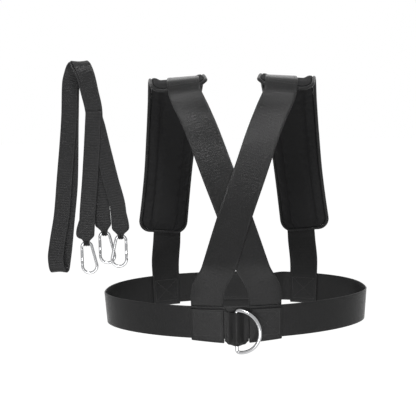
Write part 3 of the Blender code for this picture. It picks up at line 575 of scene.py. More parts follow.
def thread_finish(name, colour, ply_pitch, ply_lean):
    """Twisted sewing thread, whose plies run slanted round it."""
    finish = Finish(name, colour, Roughness=0.5, Sheen_Weight=0.1, Sheen_Roughness=0.45)
    across, along = finish.uv()
    turns = finish.total(finish.product(along, 2 * math.pi / ply_pitch), finish.product(across, ply_lean))
    ply = finish.math("SINE", turns)
    finish.bump(ply, distance=0.00006, strength=0.7)
    finish.shade(finish.spread(ply, 0.8, 1.2))
    return finish.material


def tape_finish(name, colour, hook_pitches=None):
    """Hook and loop tape: rows of stiff hooks at the pitches across and along it, or brushed loops."""
    finish = Finish(name, colour, Roughness=0.8)
    if hook_pitches:
        rows = [finish.wave(value, pitch) for value, pitch in zip(finish.uv(), hook_pitches)]
        texture = finish.math("MAXIMUM", finish.product(*rows), 0.0)
    else:
        texture = finish.noise(finish.place(), scale=1500, detail=5, roughness=0.8)
    finish.bump(texture, distance=0.0004, strength=1.0)
    finish.shade(finish.spread(texture, 0.6, 1.5))
    return finish.material


def metal_finish(name, colour, roughness, scratches):
    """Bright plating with faint handling marks."""
    finish = Finish(name, colour, Metallic=1.0)
    place = finish.place()
    cloud = finish.noise(place, scale=240, detail=4, roughness=0.6)
    drawn = finish.add("ShaderNodeMapping", Vector=place, Scale=(900, 900, 9000))[0]
    finish.set(Roughness=finish.math("MULTIPLY_ADD", cloud, scratches, roughness - scratches / 2))
    finish.bump(finish.noise(drawn, scale=1, detail=2, roughness=0.5), distance=0.00001, strength=0.25)
    finish.shade(finish.spread(cloud, 0.9, 1.08))
    return finish.material


# Meshes

def linked(name, data):
    """A new object in the scene."""
    thing = bpy.data.objects.new(name, data)
    bpy.context.scene.collection.objects.link(thing)
    return thing


def smoothed(data, degrees):
    """The mesh shaded smooth, but for edges sharper than an angle."""
    data.shade_smooth()
    data.set_sharp_from_angle(angle=math.radians(degrees))
    return data


def plain_mesh(name, points, faces):
    data = bpy.data.meshes.new(name)
    data.from_pydata(points.tolist(), [], faces)
    return data


def mesh_object(name, points, faces, uv, look, body="harness"):
    """A smooth mesh with across and along UVs in metres, riding on a body."""
    data = plain_mesh(name, points, faces)
    layer = data.uv_layers.new(name="UVMap")
    corner = np.zeros(len(data.loops), dtype=np.int64)
    data.loops.foreach_get("vertex_index", corner)
    layer.data.foreach_set("uv", np.asarray(uv, dtype=np.float32)[corner].reshape(-1))
    data.materials.append(LOOKS[look])
    thing = linked(name, smoothed(data, SMOOTH_DEGREES))
    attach(thing, body)
    return thing


class Strip:
    """A woven strip's middle surface: rows of points across it, at known places across and along."""

    def __init__(self, middle, across, along):
        self.middle = middle
        self.across = across
        self.along = along
        down = np.gradient(middle, axis=0)
        side = np.gradient(middle, axis=1)
        self.normal = unit(np.cross(side, down))

    def at(self, across, along, offset):
        """Points at places on the strip, by blending its nearest rows and columns."""
        row = np.interp(along, self.along, np.arange(len(self.along)))
        column = np.interp(across, self.across, np.arange(len(self.across)))
        r = np.clip(row.astype(int), 0, len(self.along) - 2)
        c = np.clip(column.astype(int), 0, len(self.across) - 2)
        fr, fc = (row - r)[..., None], (column - c)[..., None]
        found = []
        for table in (self.middle, self.normal):
            low = table[r, c] * (1 - fc) + table[r, c + 1] * fc
            high = table[r + 1, c] * (1 - fc) + table[r + 1, c + 1] * fc
            found.append(low * (1 - fr) + high * fr)
        return found[0] + unit(found[1]) * np.asarray(offset)[..., None]


def columns_across(width):
    """Places across a strip: close together at its rounded selvedges."""
    flat = width / 2 - EDGE_RADIUS
    edge = flat + EDGE_RADIUS * np.sin(np.radians(EDGE_DEGREES))
    count = max(3, round(2 * flat / COLUMN_STEP))
    inner = np.linspace(-flat, flat, count + 1)[1:-1]
    return np.concatenate((-edge[::-1], inner, edge))


def shell_faces(top, low):
    """Faces of two facing grids of vertex numbers, joined round the rim wherever they differ."""
    upper = np.stack((top[:-1, :-1], top[:-1, 1:], top[1:, 1:], top[1:, :-1]), axis=-1)
    lower = np.stack((low[:-1, :-1], low[1:, :-1], low[1:, 1:], low[:-1, 1:]), axis=-1)
    faces = np.stack((upper, lower), axis=2).reshape(-1, 4).tolist()
    rims = [(grid[0], grid[1:, -1], grid[-1, -2::-1], grid[-2:0:-1, 0]) for grid in (top, low)]
    ring = np.stack([np.concatenate(rim) for rim in rims], axis=1).tolist()
    for here, beyond in zip(ring, ring[1:] + ring[:1]):
        wall = list(dict.fromkeys(here + beyond[::-1]))
        if len(wall) > 2:
            faces.append(wall)
    return faces


def make_strip(name, strip, thickness, look, body="harness"):
    """A closed strip with rounded selvedges around its middle surface, in place of the part's node."""
    past = np.clip((np.abs(strip.across) - (strip.across[-1] - EDGE_RADIUS)) / EDGE_RADIUS, 0, 1)
    rise = strip.normal * (thickness / 2 * np.sqrt(1 - past ** 2))[None, :, None]
    lower = (strip.middle - rise)[:, 1:-1].reshape(-1, 3)
    points = np.concatenate(((strip.middle + rise).reshape(-1, 3), lower))
    rows, columns = strip.middle.shape[:2]
    top = np.arange(rows * columns).reshape(rows, columns)
    low = top.copy()
    low[:, 1:-1] = top.size + np.arange(len(lower)).reshape(rows, -1)
    grid = np.stack(np.meshgrid(strip.across, strip.along), axis=-1)
    uv = np.concatenate((grid.reshape(-1, 2), grid[:, 1:-1].reshape(-1, 2)))
    thing = mesh_object(name, points, shell_faces(top, low), uv, look, body)
    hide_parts(name)
    return thing


def tube_mesh(points, radius, sides, closed=False, guide=(0, 0, 1)):
    """Points, faces and UVs of a round tube along a path."""
    points = np.asarray(points, dtype=float)
    if closed:
        tangent = unit(np.roll(points, -1, axis=0) - np.roll(points, 1, axis=0))
    else:
        tangent = unit(np.gradient(points, axis=0))
    side = np.cross(tangent[0], guide)
    if np.linalg.norm(side) < NEARLY_PARALLEL:
        side = np.cross(tangent[0], (1, 0, 0))
    frames = []
    for t in tangent:
        side = side - np.dot(side, t) * t
        side = side / np.linalg.norm(side)
        frames.append((side, np.cross(t, side)))
    frames = np.array(frames)
    angles = 2 * math.pi * np.arange(sides) / sides
    turns = angles[:, None]
    ring = np.cos(turns) * frames[:, None, 0] + np.sin(turns) * frames[:, None, 1]
    vertices = points[:, None] + ring * radius
    uv = np.stack(np.broadcast_arrays(angles * radius, path_lengths(points)[:, None]), axis=-1)
    grid = np.arange(len(points) * sides).reshape(-1, sides)
    rows = np.concatenate((grid, grid[:1])) if closed else grid
    beside = np.roll(rows, -1, axis=1)
    faces = np.stack((rows[:-1], beside[:-1], beside[1:], rows[1:]), axis=-1).reshape(-1, 4).tolist()
    if not closed:
        faces += [grid[0, ::-1].tolist(), grid[-1].tolist()]
    return vertices.reshape(-1, 3), faces, uv.reshape(-1, 2)


def make_seam(name, runs, surface, body="harness", side=-1):
    """Sewn thread: each run is a list of places on a surface, crossed at an even stitch."""
    vertices, faces, uvs = [], [], []
    start = 0
    for run in runs:
        run = np.asarray(run, dtype=float)
        lengths = path_lengths(run)
        length = lengths[-1]
        stitches = max(1, round(length / STITCH_LENGTH))
        steps = np.linspace(0, length, max(4, round(length / THREAD_STEP)) + 1)
        first, second = (np.interp(steps, lengths, run[:, column]) for column in (0, 1))
        wave = np.abs(np.sin(math.pi * stitches * steps / length))
        rise = THREAD_RADIUS * (THREAD_RISE_SHARE * wave - THREAD_SINK_SHARE)
        points, loops, uv = tube_mesh(surface(first, second, rise), THREAD_RADIUS, THREAD_SIDES)
        vertices.append(points)
        uvs.append(uv)
        faces += [[index + start for index in loop][::-side] for loop in loops]
        start += len(points)
    points = mirrored(np.concatenate(vertices), side)
    mesh_object(name, points, faces, np.concatenate(uvs), "thread", body)


def box_loop(left, right, low, high):
    return [(left, low), (right, low), (right, high), (left, high), (left, low)]


def box_stitch(left, right, low, high):
    """A sewn box with both diagonals."""
    return [box_loop(left, right, low, high), [(left, low), (right, high)], [(right, low), (left, high)]]


# Harness

def overlap_drop(along):
    return OVERLAP_DROP * smooth_step((along - RAMP_START) / OVERLAP_DROP_LENGTH)


def belt_strip(along, width, offset, drop):
    """A strip laid along the belt at an outward offset, and let down by a drop."""
    across = columns_across(width)
    heights = across + WEBBING_WIDTH / 2 - np.asarray(drop)[..., None]
    return Strip(belt_point(along[:, None], heights, np.asarray(offset)[..., None]), across, along)


def belt_face(level):
    """A surface for seams, outside the belt at a level, or inside it at a negative one."""
    return lambda along, height, rise: belt_point(along, height, level + math.copysign(1, level) * rise)


def make_belt():
    reach = (BELT_LENGTH + BELT_OVERLAP) / 2
    along = spaced(-reach, reach)
    offset = OVERLAP_RISE * smooth_step((along - RAMP_START) / BELT_END_RAMP)
    strip = belt_strip(along, WEBBING_WIDTH, offset, overlap_drop(along))
    belt = make_strip("belt_webbing", strip, WEBBING_THICKNESS, "webbing")
    start = (BELT_LENGTH - TAPE_LENGTH) / 2
    places = spaced(start, start + TAPE_LENGTH)
    tapes = (("belt_loop_tape", LOOP_OFFSET, 0, "loops"),
             ("belt_hook_tape", HOOK_OFFSET, overlap_drop(places), "hooks"))
    for name, level, drop, look in tapes:
        strip = belt_strip(places, TAPE_WIDTH, level, drop)
        tape = make_strip(name, strip, TAPE_THICKNESS, look)
    half, edge = BELT_LENGTH / 2, TAPE_LENGTH / 2 - CLOSURE_SEAM_INSET
    loop = [box_loop(half - edge, half + edge, BELT_SEAM_INSET, WEBBING_WIDTH - BELT_SEAM_INSET)]
    make_seam("belt_closure_outer_seam", loop,
              lambda a, h, r: belt_point(a, h - overlap_drop(a), OVERLAP_RISE + WEBBING_FACE + r))
    make_seam("belt_closure_inner_seam", loop, belt_face(-WEBBING_FACE))


def strap_ends(across):
    """Rows of the left strap's two ends: down the belt's outer face and round its lower edge."""
    ends = []
    for start, direction in ((BACK_END, -1), (FRONT_END, 1)):
        places = start + direction * across
        heights = np.linspace(STRAP_END_SHARE * WEBBING_WIDTH, 0, num=14)[:-1, None]
        angles = np.linspace(0, math.pi, FOLD_STEPS + 1)[:-1, None]
        turn = belt_point(places, -FOLD_RADIUS * np.sin(angles), FOLD_RADIUS * np.cos(angles))
        ends.append(np.concatenate((belt_point(places, heights, FOLD_RADIUS), turn)))
    return ends


def make_straps():
    across = columns_across(WEBBING_WIDTH)
    back, front = strap_ends(across)
    along = spaced(0, SHOULDER_LENGTHS[-1])
    for prefix, side in SIDES:
        layer = side * CROSSING_LAYER
        middle = np.concatenate((back, strap_point(along[:, None], across[None, :], layer), front[::-1]))
        sag = FOLD_SAG * (0.5 - across / WEBBING_WIDTH) * smooth_step(1 - middle[..., 2] / FOLD_SAG_HEIGHT)
        middle[..., 2] -= np.where(middle[..., 1] < 0, sag, 0)
        middle = mirrored(middle, side)[:, ::-side]
        strip = Strip(middle, across, path_lengths(middle[:, middle.shape[1] // 2]))
        strap = make_strip(f"{prefix}_shoulder_strap", strip, WEBBING_THICKNESS, "webbing")
        make_strap_seams(prefix, side, layer)


def make_strap_seams(prefix, side, layer):
    """Box stitches at both ends of a strap, outside and inside the belt, and a long loop over the pad."""
    edge = WEBBING_WIDTH / 2 - STRAP_SEAM_INSET
    high = STRAP_END_SHARE * WEBBING_WIDTH - STRAP_SEAM_INSET
    for end, start in (("back", BACK_END), ("front", FRONT_END)):
        runs = box_stitch(start - edge, start + edge, BELT_SEAM_INSET, high)
        make_seam(f"{prefix}_strap_{end}_box", runs, belt_face(OUTER_FACE), side=side)
        make_seam(f"{prefix}_strap_{end}_box_inside", runs, belt_face(-OUTER_FACE), side=side)
    low, high = PAD_START + PAD_SEAM_BACK_INSET, PAD_START + PAD_LENGTH - PAD_SEAM_FRONT_INSET
    make_seam(f"{prefix}_strap_pad_seam", [box_loop(low, high, -edge, edge)],
              lambda a, s, r: strap_face(a, s, layer, WEBBING_FACE + r), side=side)


def make_keeper():
    """The webbing tunnel over the ring's bar, with two seams down each flap."""
    top = 2 * RING_WIRE_RADIUS + WEBBING_THICKNESS + 2 * GAP
    along = np.linspace(-KEEPER_HALF_LENGTH, KEEPER_HALF_LENGTH, num=60)
    across = columns_across(WEBBING_WIDTH)
    side = (np.abs(along) - KEEPER_BUMP_HALF_LENGTH) / (KEEPER_HALF_LENGTH - KEEPER_BUMP_HALF_LENGTH)
    drop = KEEPER_DROP - (KEEPER_DROP - KEEPER_SIDE_DROP) * smooth_step(side)
    heights = across[None, :] + WEBBING_WIDTH / 2 - drop[:, None]
    share = np.minimum(1, np.abs(along) / KEEPER_BUMP_HALF_LENGTH)
    bump = (1 + np.cos(math.pi * share)) / 2
    upright = top + math.tan(BELT_TAPER) * (WEBBING_WIDTH - heights)
    offset = FOLD_RADIUS + (upright - FOLD_RADIUS) * bump[:, None]
    middle = belt_point(along[:, None], heights, offset)
    strip = Strip(middle, across, path_lengths(middle[:, len(across) // 2]))
    keeper = make_strip("d_ring_keeper", strip, WEBBING_THICKNESS, "webbing")
    low, high = KEEPER_SEAM_INSET - KEEPER_SIDE_DROP, WEBBING_WIDTH - KEEPER_DROP - KEEPER_SEAM_INSET
    runs = [[(place, low), (place, high)] for place in KEEPER_SEAM_PLACES]
    make_seam("d_ring_keeper_seams", runs, belt_face(OUTER_FACE))


def make_ring():
    half = RING_INNER_HEIGHT / 2 + RING_WIRE_RADIUS
    arm = RING_DEPTH - RING_WIRE_RADIUS - half
    corner = RING_CORNER_RADIUS
    outline = arc((corner, -half + corner), corner, 180, 270, steps=10)
    outline += arc((arm, 0), half, -90, 90, steps=72)
    outline += arc((corner, half - corner), corner, 90, 180, steps=10)
    bar = np.linspace(half - corner, -half + corner, num=26)[1:-1]
    outline += [(0, height) for height in bar]
    face = belt_point(0, WEBBING_WIDTH, WEBBING_FACE)
    height = WEBBING_WIDTH - KEEPER_DROP + 2 * GAP - RING_INNER_HEIGHT / 2
    axis = np.array([0, face[1] - GAP - RING_WIRE_RADIUS, height])
    turn = np.array(Matrix.Rotation(RING_SWING, 3, "Z"))
    points = np.array([(x, 0, z) for x, z in outline]) @ turn.T + axis
    vertices, faces, uv = tube_mesh(points, RING_WIRE_RADIUS, sides=32, closed=True, guide=(0, 1, 0))
    ring = mesh_object("d_ring", vertices, faces, uv, "chrome", "d_ring")
    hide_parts("d_ring")


# Pads

def pad_outline(inset, corner_steps, step):
    """Places along the pad and its half width there, for an outline drawn in by an inset."""
    radius = PAD_CORNER_RADIUS - inset
    half = PAD_WIDTH / 2 - inset
    angles = np.linspace(0, math.pi / 2, corner_steps + 1)
    places = inset + radius * (1 - np.cos(angles))
    widths = half - radius * (1 - np.sin(angles))
    count = max(2, round((PAD_LENGTH - 2 * PAD_CORNER_RADIUS) / step))
    middle = np.linspace(PAD_CORNER_RADIUS, PAD_LENGTH - PAD_CORNER_RADIUS, count + 1)[1:-1]
    places = np.concatenate((places, middle, PAD_LENGTH - places[::-1]))
    return places, np.concatenate((widths, np.full(len(middle), half), widths[::-1]))


def pad_crown(share, place):
    """Depth of the pad's inner face before it swells: crowned, pinched at the two channels."""
    from_end = np.minimum(place, PAD_LENGTH - place) / PAD_CORNER_RADIUS
    crown = (1 - share ** 4) * smooth_step(from_end)
    beside = (np.abs(share) - CHANNEL_SHARE) / CHANNEL_WIDTH_SHARE
    channel = np.exp(-beside ** 2) * smooth_step(from_end * CHANNEL_END_RATE)
    return PAD_EDGE_DEPTH + (PAD_CROWN_DEPTH - PAD_EDGE_DEPTH) * crown - PAD_CHANNEL_DEPTH * channel


def flat_pad():
    """The pad laid flat, as a closed mesh, and the weights that hold its seams while it swells."""
    places, widths = pad_outline(2 * BINDING_RADIUS, corner_steps=9, step=0.0032)
    outer = np.linspace(-1, -CHANNEL_SHARE, num=8)
    inner = np.linspace(-CHANNEL_SHARE, CHANNEL_SHARE, num=19)
    shares = np.concatenate((outer, inner[1:-1], -outer[::-1]))
    sideways = shares * widths[:, None]
    along = np.broadcast_to(places[:, None], sideways.shape)
    depths = (pad_crown(shares, along), np.full(sideways.shape, WEBBING_FACE + PAD_SEAT_GAP))
    points = np.stack([np.stack((sideways, along, depth), axis=-1) for depth in depths])
    held = np.ones(sideways.shape)
    held[1:-1, 1:-1] = 0
    held[:, np.isclose(np.abs(shares), CHANNEL_SHARE)] = 1
    grid = np.arange(held.size).reshape(held.shape)
    weights = np.concatenate((held.reshape(-1), np.ones(held.size)))
    return points.reshape(-1, 3), shell_faces(grid, grid + held.size), weights


def swell(points, faces, weights):
    """Let the flat pad swell as pressed cloth, held along its seams, and cap how far it moves."""
    thing = linked("pad_flat", plain_mesh("pad_flat", points, faces))
    group = thing.vertex_groups.new(name="seams")
    for index, weight in enumerate(weights):
        if weight > 0:
            group.add([index], float(weight), "REPLACE")
    cloth = thing.modifiers.new("cloth", "CLOTH")
    for key, value in SWELL_SETTINGS.items():
        setattr(cloth.settings, key, value)
    cloth.settings.effector_weights.gravity = 0
    cloth.collision_settings.use_collision = False
    for step in range(1, SWELL_STEPS + 1):
        bpy.context.scene.frame_set(step)
    graph = bpy.context.evaluated_depsgraph_get()
    moved = np.zeros(len(points) * 3)
    thing.evaluated_get(graph).data.vertices.foreach_get("co", moved)
    bpy.data.objects.remove(thing)
    bpy.context.scene.frame_set(1)
    shift = moved.reshape(-1, 3) - points
    length = np.linalg.norm(shift, axis=1, keepdims=True)
    return points + shift * np.minimum(1, PAD_SWELL_LIMIT / np.maximum(length, TINY))


def ripples(points, weights, seed):
    """Small puckers beside the sewn lines, deepest near them and different on each pad."""
    random = np.random.default_rng(seed)
    across, along, depth = points.T
    wave = np.zeros(len(points))
    for _ in range(PUCKER_WAVES):
        pitch = random.uniform(*PUCKER_PITCHES)
        lean = random.uniform(-PUCKER_LEAN, PUCKER_LEAN)
        phase = random.uniform(0, 2 * math.pi)
        wave += np.sin(2 * math.pi * (along + lean * across) / pitch + phase) / PUCKER_WAVES
    from_channel = np.abs(np.abs(across) - CHANNEL_SHARE * PAD_HALF_FACE)
    near = np.exp(-(np.minimum(from_channel, PAD_HALF_FACE - np.abs(across)) / PUCKER_REACH) ** 2)
    free = (weights < 0.5) & (depth > PUCKER_LEAST_DEPTH)
    moved = points.copy()
    moved[:, 2] += np.where(free, PUCKER_DEPTH * wave * near, 0)
    return moved


def make_pads():
    for prefix, side in SIDES:
        flat, faces, weights = flat_pad()
        points = swell(flat, faces, weights)
        across, along, depth = ripples(points, weights, PAD_SEEDS[prefix]).T
        bent = pad_point(along, across, np.minimum(depth, PAD_CROWN_DEPTH + PAD_SWELL_MARGIN))
        faces = [face[::side] for face in faces]
        pad = mesh_object(f"{prefix}_pad", mirrored(bent, side), faces, flat[:, :2], "pad")
        smooth = pad.modifiers.new("smooth", "SUBSURF")
        smooth.levels = smooth.render_levels = 1
        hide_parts(f"{prefix}_pad_outer_cover", f"{prefix}_pad_foam", f"{prefix}_pad_inner_cover")
        make_piping(prefix, side)
        make_pad_seams(prefix, side)


def make_piping(prefix, side):
    """Edge binding: a filled round piping along the pad's rim."""
    places, widths = pad_outline(BINDING_RADIUS, corner_steps=10, step=0.004)
    loop = np.concatenate((np.stack((places, widths), 1), np.stack((places, -widths), 1)[::-1]))
    depth = WEBBING_FACE + PAD_SEAT_GAP + BINDING_RADIUS
    points = mirrored(pad_point(loop[:, 0], loop[:, 1], depth), side)
    vertices, faces, uv = tube_mesh(points, BINDING_RADIUS, sides=16, closed=True, guide=(1, 0, 0))
    piping = mesh_object(f"{prefix}_pad_piping", vertices, faces, uv, "binding")
    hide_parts(f"{prefix}_pad_binding")


def make_pad_seams(prefix, side):
    """Thread in both channels, which stay put while the pad swells."""
    held = CHANNEL_SHARE * PAD_HALF_FACE
    low, high = CHANNEL_SEAM_INSET, PAD_LENGTH - CHANNEL_SEAM_INSET
    runs = [[(low, sign * held), (high, sign * held)] for sign in (-1, 1)]
    make_seam(f"{prefix}_pad_channel_thread", runs,
              lambda a, s, r: pad_point(a, s, pad_crown(CHANNEL_SHARE, a) + r), side=side)


# Lead

def full_width(points):
    return [(*point, LEAD_WIDTH) for point in points]


def ribbon_strip(route):
    """Lead webbing along a route of x, y, z and width. Where it narrows, it gathers into pleats."""
    path = smooth_curve(route, RIBBON_STEPS)
    centres, spans = path[:, :3], path[:, 3]
    tangents = unit(np.gradient(centres, axis=0))
    level = unit(np.array([1, 0, 0]) - tangents[:, :1] * tangents)
    normal = np.cross(level, tangents)
    across = columns_across(LEAD_WIDTH)
    shares = across / (LEAD_WIDTH / 2)
    narrow = (1 - spans / LEAD_WIDTH)[:, None]
    folds = np.cos(shares * PLEAT_HALF_WAVES * math.pi)
    pleat = narrow * PLEAT_DEPTH * folds * smooth_step(PLEAT_ONSET * narrow)
    middle = centres[:, None] + level[:, None] * (shares * spans[:, None] / 2)[..., None]
    return Strip(middle + normal[:, None] * pleat[..., None], across, path_lengths(centres))


def eye_route(place, top, shift):
    """The narrowed webbing round a hook's wire, and its return at full width behind the leg."""
    x, y, z = place
    lean = np.array((top[0] - x, top[1] - z))
    near_x, near_z = (x, z) + lean * EYE_TAPER_LENGTH / math.hypot(*lean)
    far_x, far_z = (x, z) + lean * EYE_RETURN_LENGTH / math.hypot(*lean)
    front = y - EYE_RADIUS
    back = front + LEAD_LAYER
    turn = [(x, *point, EYE_WIDTH) for point in arc((y, z), EYE_RADIUS, 180, 360, EYE_STEPS)]
    rise = full_width([(near_x + shift, back, near_z), (far_x, back, far_z)])
    return full_width([(near_x, front, near_z)]) + turn + rise


def make_lead():
    left, middle, right = HOOK_PLACES
    eye = eye_route(middle, LONG_ROUTE[-1][::2], MIDDLE_RETURN_SHIFT)
    long_strip = ribbon_strip(full_width(LONG_ROUTE) + eye)

    left_y, right_y = left[1] - EYE_RADIUS, right[1] - EYE_RADIUS
    middle_y = (left_y + right_y) / 2
    left_leg = full_width((x, left_y, z) for x, z in reversed(LEFT_LEG_ROUTE))
    right_leg = full_width((x, right_y, z) for x, z in RIGHT_LEG_ROUTE)
    fold = full_width([
        (JOIN_X, middle_y - LEAD_LAYER / 2, JOIN_HEIGHT),
        (JOIN_X, middle_y, JOIN_HEIGHT + LEAD_LAYER / 2),
        (JOIN_X, middle_y + LEAD_LAYER / 2, JOIN_HEIGHT),
    ])
    left_eye = eye_route(left, LEFT_LEG_ROUTE[-1], LEFT_RETURN_SHIFT)
    right_eye = eye_route(right, RIGHT_LEG_ROUTE[-1], RIGHT_RETURN_SHIFT)
    fork_strip = ribbon_strip(left_eye[::-1] + left_leg + fold + right_leg + right_eye)
    for name, strip in (("lead_long_strap", long_strip), ("lead_fork_strap", fork_strip)):
        lead = make_strip(name, strip, LEAD_THICKNESS, "lead", body="lead")
    make_lead_seams(long_strip, fork_strip)


def make_lead_seams(long_strip, fork_strip):
    """A sewn box above each hook's eye, on the front of the leg and on the back of its return."""
    edge = LEAD_WIDTH / 2 - LEAD_SEAM_INSET
    face = LEAD_THICKNESS / 2
    turn = math.pi * EYE_RADIUS / 2
    eyes = (("left", fork_strip, -1), ("middle", long_strip, 1), ("right", fork_strip, 1))
    for (name, strip, way), place in zip(eyes, HOOK_PLACES):
        centre = strip.middle[:, len(strip.across) // 2]
        bottom = np.array(place) - [0, 0, EYE_RADIUS]
        at_bottom = strip.along[np.argmin(np.linalg.norm(centre - bottom, axis=1))]
        for layer, direction in (("front", -way), ("back", way)):
            ends = turn + EYE_SEAM_LOW, turn + EYE_SEAM_HIGH - EYE_SEAM_INSET
            low, high = sorted(at_bottom + direction * end for end in ends)
            make_seam(f"lead_{name}_eye_box_{layer}", box_stitch(-edge, edge, low, high),
                      lambda a, s, r: strip.at(a, s, -way * (face + r)), body="lead")


# Snap hooks

def mesh_data(name, mesh):
    data = bpy.data.meshes.new(name)
    mesh.to_mesh(data)
    mesh.free()
    return data


def placed(name, mesh, centre):
    bmesh.ops.translate(mesh, vec=centre, verts=list(mesh.verts))
    return linked(name, mesh_data(name, mesh))


def quarter_turned(mesh):
    """The mesh with its Z axis laid along Y."""
    bmesh.ops.rotate(mesh, matrix=Matrix.Rotation(math.radians(90), 3, "X"), verts=list(mesh.verts))
    return mesh


def block(name, x_ends, thickness, z_ends):
    """A block between two places on X and on Z, with its thickness centred on Y."""
    ends = np.array((x_ends, (-thickness / 2, thickness / 2), z_ends))
    mesh = bmesh.new()
    bmesh.ops.create_cube(mesh, size=1)
    bmesh.ops.scale(mesh, vec=ends[:, 1] - ends[:, 0], verts=list(mesh.verts))
    return placed(name, mesh, ends.mean(axis=1))


def rod(name, radius, length, centre):
    mesh = bmesh.new()
    bmesh.ops.create_cone(
        mesh, cap_ends=True, segments=ROUND_SIDES, radius1=radius, radius2=radius, depth=length)
    return placed(name, quarter_turned(mesh), centre)


def turned_blank(outline):
    """A closed round mesh about Z, from one side of its outline in x and z."""
    mesh = bmesh.new()
    corners = [mesh.verts.new((x, 0, z)) for x, z in outline]
    edges = [mesh.edges.new(pair) for pair in zip(corners, corners[1:])]
    bmesh.ops.spin(mesh, geom=corners + edges, axis=(0, 0, 1), angle=2 * math.pi, steps=ROUND_SIDES)
    bmesh.ops.remove_doubles(mesh, verts=list(mesh.verts), dist=MERGE_DISTANCE)
    bmesh.ops.recalc_face_normals(mesh, faces=list(mesh.faces))
    return mesh


def shaped(thing, joined, cut):
    """The thing's mesh after its unions and its cuts, with softened edges. Its blanks are removed."""
    for operation, others in (("UNION", joined), ("DIFFERENCE", cut)):
        for other in others:
            boolean = thing.modifiers.new(other.name, "BOOLEAN")
            boolean.operation = operation
            boolean.solver = "EXACT"
            boolean.object = other
    soften = thing.modifiers.new("soften", "BEVEL")
    soften.width = HOOK_BEVEL
    soften.segments = 2
    soften.limit_method = "ANGLE"
    soften.angle_limit = math.radians(METAL_BEVEL_DEGREES)
    bpy.context.view_layer.update()
    graph = bpy.context.evaluated_depsgraph_get()
    data = bpy.data.meshes.new_from_object(thing.evaluated_get(graph))
    for blank in [thing, *joined, *cut]:
        bpy.data.objects.remove(blank)
    return smoothed(data, METAL_SMOOTH_DEGREES)


def hook_outline():
    """The wire's middle line in x and z, from the pivot over the top and round the bottom to the latch."""
    narrow, wide = HOOK_NARROW_RADIUS, HOOK_WIDE_RADIUS
    top = (0, -narrow)
    bottom = (wide - narrow, wide + 2 * HOOK_WIRE_RADIUS - HOOK_LENGTH)
    toward = math.atan2(bottom[1] - top[1], bottom[0] - top[0])
    tangent = math.degrees(2 * toward) % 360 - 180
    points = [(-narrow, -GATE_PIVOT_DEPTH + HOOK_WIRE_RADIUS + GAP)]
    points += arc(top, narrow, 180, tangent, steps=36)
    points += arc(bottom, wide, tangent, -180, steps=44)
    points.append((-narrow, WIRE_END))
    return points


def hook_body_mesh():
    """The bent wire, forged flat into a tang at each end."""
    side = -HOOK_NARROW_RADIUS
    points = [(x, 0, z) for x, z in hook_outline()]
    vertices, faces, _ = tube_mesh(points, HOOK_WIRE_RADIUS, sides=28, guide=(0, 1, 0))
    body = linked("hook_blank", plain_mesh("hook_blank", vertices, faces))
    width = (side - TANG_RADIUS, side + TANG_RADIUS)
    pivot_top = -GATE_PIVOT_DEPTH + HOOK_WIRE_RADIUS + GAP + OVERRUN
    latch_top = -GATE_LATCH_DEPTH + LATCH_TANG_RISE
    joined = [
        block("pivot_tang", width, TANG_THICKNESS, (-GATE_PIVOT_DEPTH, pivot_top)),
        rod("pivot_tang_end", TANG_RADIUS, TANG_THICKNESS, (side, 0, -GATE_PIVOT_DEPTH)),
        block("latch_tang", width, TANG_THICKNESS, (WIRE_END - OVERRUN, latch_top)),
    ]
    hole_length = 2 * HOOK_WIRE_RADIUS + OVERRUN
    cut = [rod("latch_hole", PIN_RADIUS, hole_length, (side, 0, -GATE_LATCH_DEPTH))]
    return shaped(body, joined, cut)


def gate_mesh():
    """The gate: a round bar with a domed fork on the pivot and a notched fork at the latch."""
    radius = HOOK_WIRE_RADIUS
    low = WIRE_END + GATE_PIVOT_DEPTH + GAP
    outline = arc((0, 0), radius, 90, 0, steps=12) + [(radius, low), (0, low)]
    blank = placed("gate_blank", turned_blank(outline), (0, 0, 0))
    slot = TANG_THICKNESS + 2 * GAP
    reach = radius + OVERRUN / 2
    latch = GATE_PIVOT_DEPTH - GATE_LATCH_DEPTH
    notch = PIN_RADIUS + GAP
    cut = [
        block("pivot_slot", (-reach, reach), slot, (-SLOT_DEPTH, radius + OVERRUN)),
        block("latch_slot", (-reach, reach), slot, (low - OVERRUN, latch + LATCH_TANG_RISE + GAP)),
        block("latch_notch", (-reach, notch), 2 * reach, (latch - notch, latch + notch)),
    ]
    return shaped(blank, [], cut)


def rivet_mesh():
    """The gate's pivot: a pin with a low domed head on each side."""
    reach = HOOK_WIRE_RADIUS - RIVET_SINK
    outline = [(RIVET_RADIUS * across, reach + RIVET_RISE * rise) for across, rise in RIVET_HEAD_SHARES]
    outline.append((PIN_RADIUS, reach - RIVET_HEAD_DEPTH))
    outline += [(x, -z) for x, z in reversed(outline)]
    return smoothed(mesh_data("rivet_blank", quarter_turned(turned_blank(outline))), METAL_SMOOTH_DEGREES)


def make_hooks():
    pivot = (-HOOK_NARROW_RADIUS, 0, -GATE_PIVOT_DEPTH)
    shapes = (
        ("body", hook_body_mesh(), (0, 0, 0), "hook"),
        ("gate", gate_mesh(), pivot, "gate"),
        ("pivot_pin", rivet_mesh(), pivot, "hook"),
    )
    for number, (place, turn) in enumerate(zip(HOOK_PLACES, HOOK_TURNS), start=1):
        stand = Matrix.Translation(place) @ Matrix.Rotation(turn, 4, "Z")
        for part, data, offset, body in shapes:
            own = data.copy()
            own.transform(stand @ Matrix.Translation(offset))
            own.materials.clear()
            own.materials.append(LOOKS["chrome"])
            node = f"hook_{number}_{part}"
            thing = linked(node + "_finish", own)
            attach(thing, f"{body}_{number}")
            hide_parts(node)


def dress_kept_nodes():
    """The small CAD pieces that stay: latch pins, and the plungers and springs inside the gates."""
    for name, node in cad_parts.items():
        if node.hide_render:
            continue
        node.data.materials.clear()
        node.data.materials.append(LOOKS["chrome" if name.endswith("_pin") else "steel"])


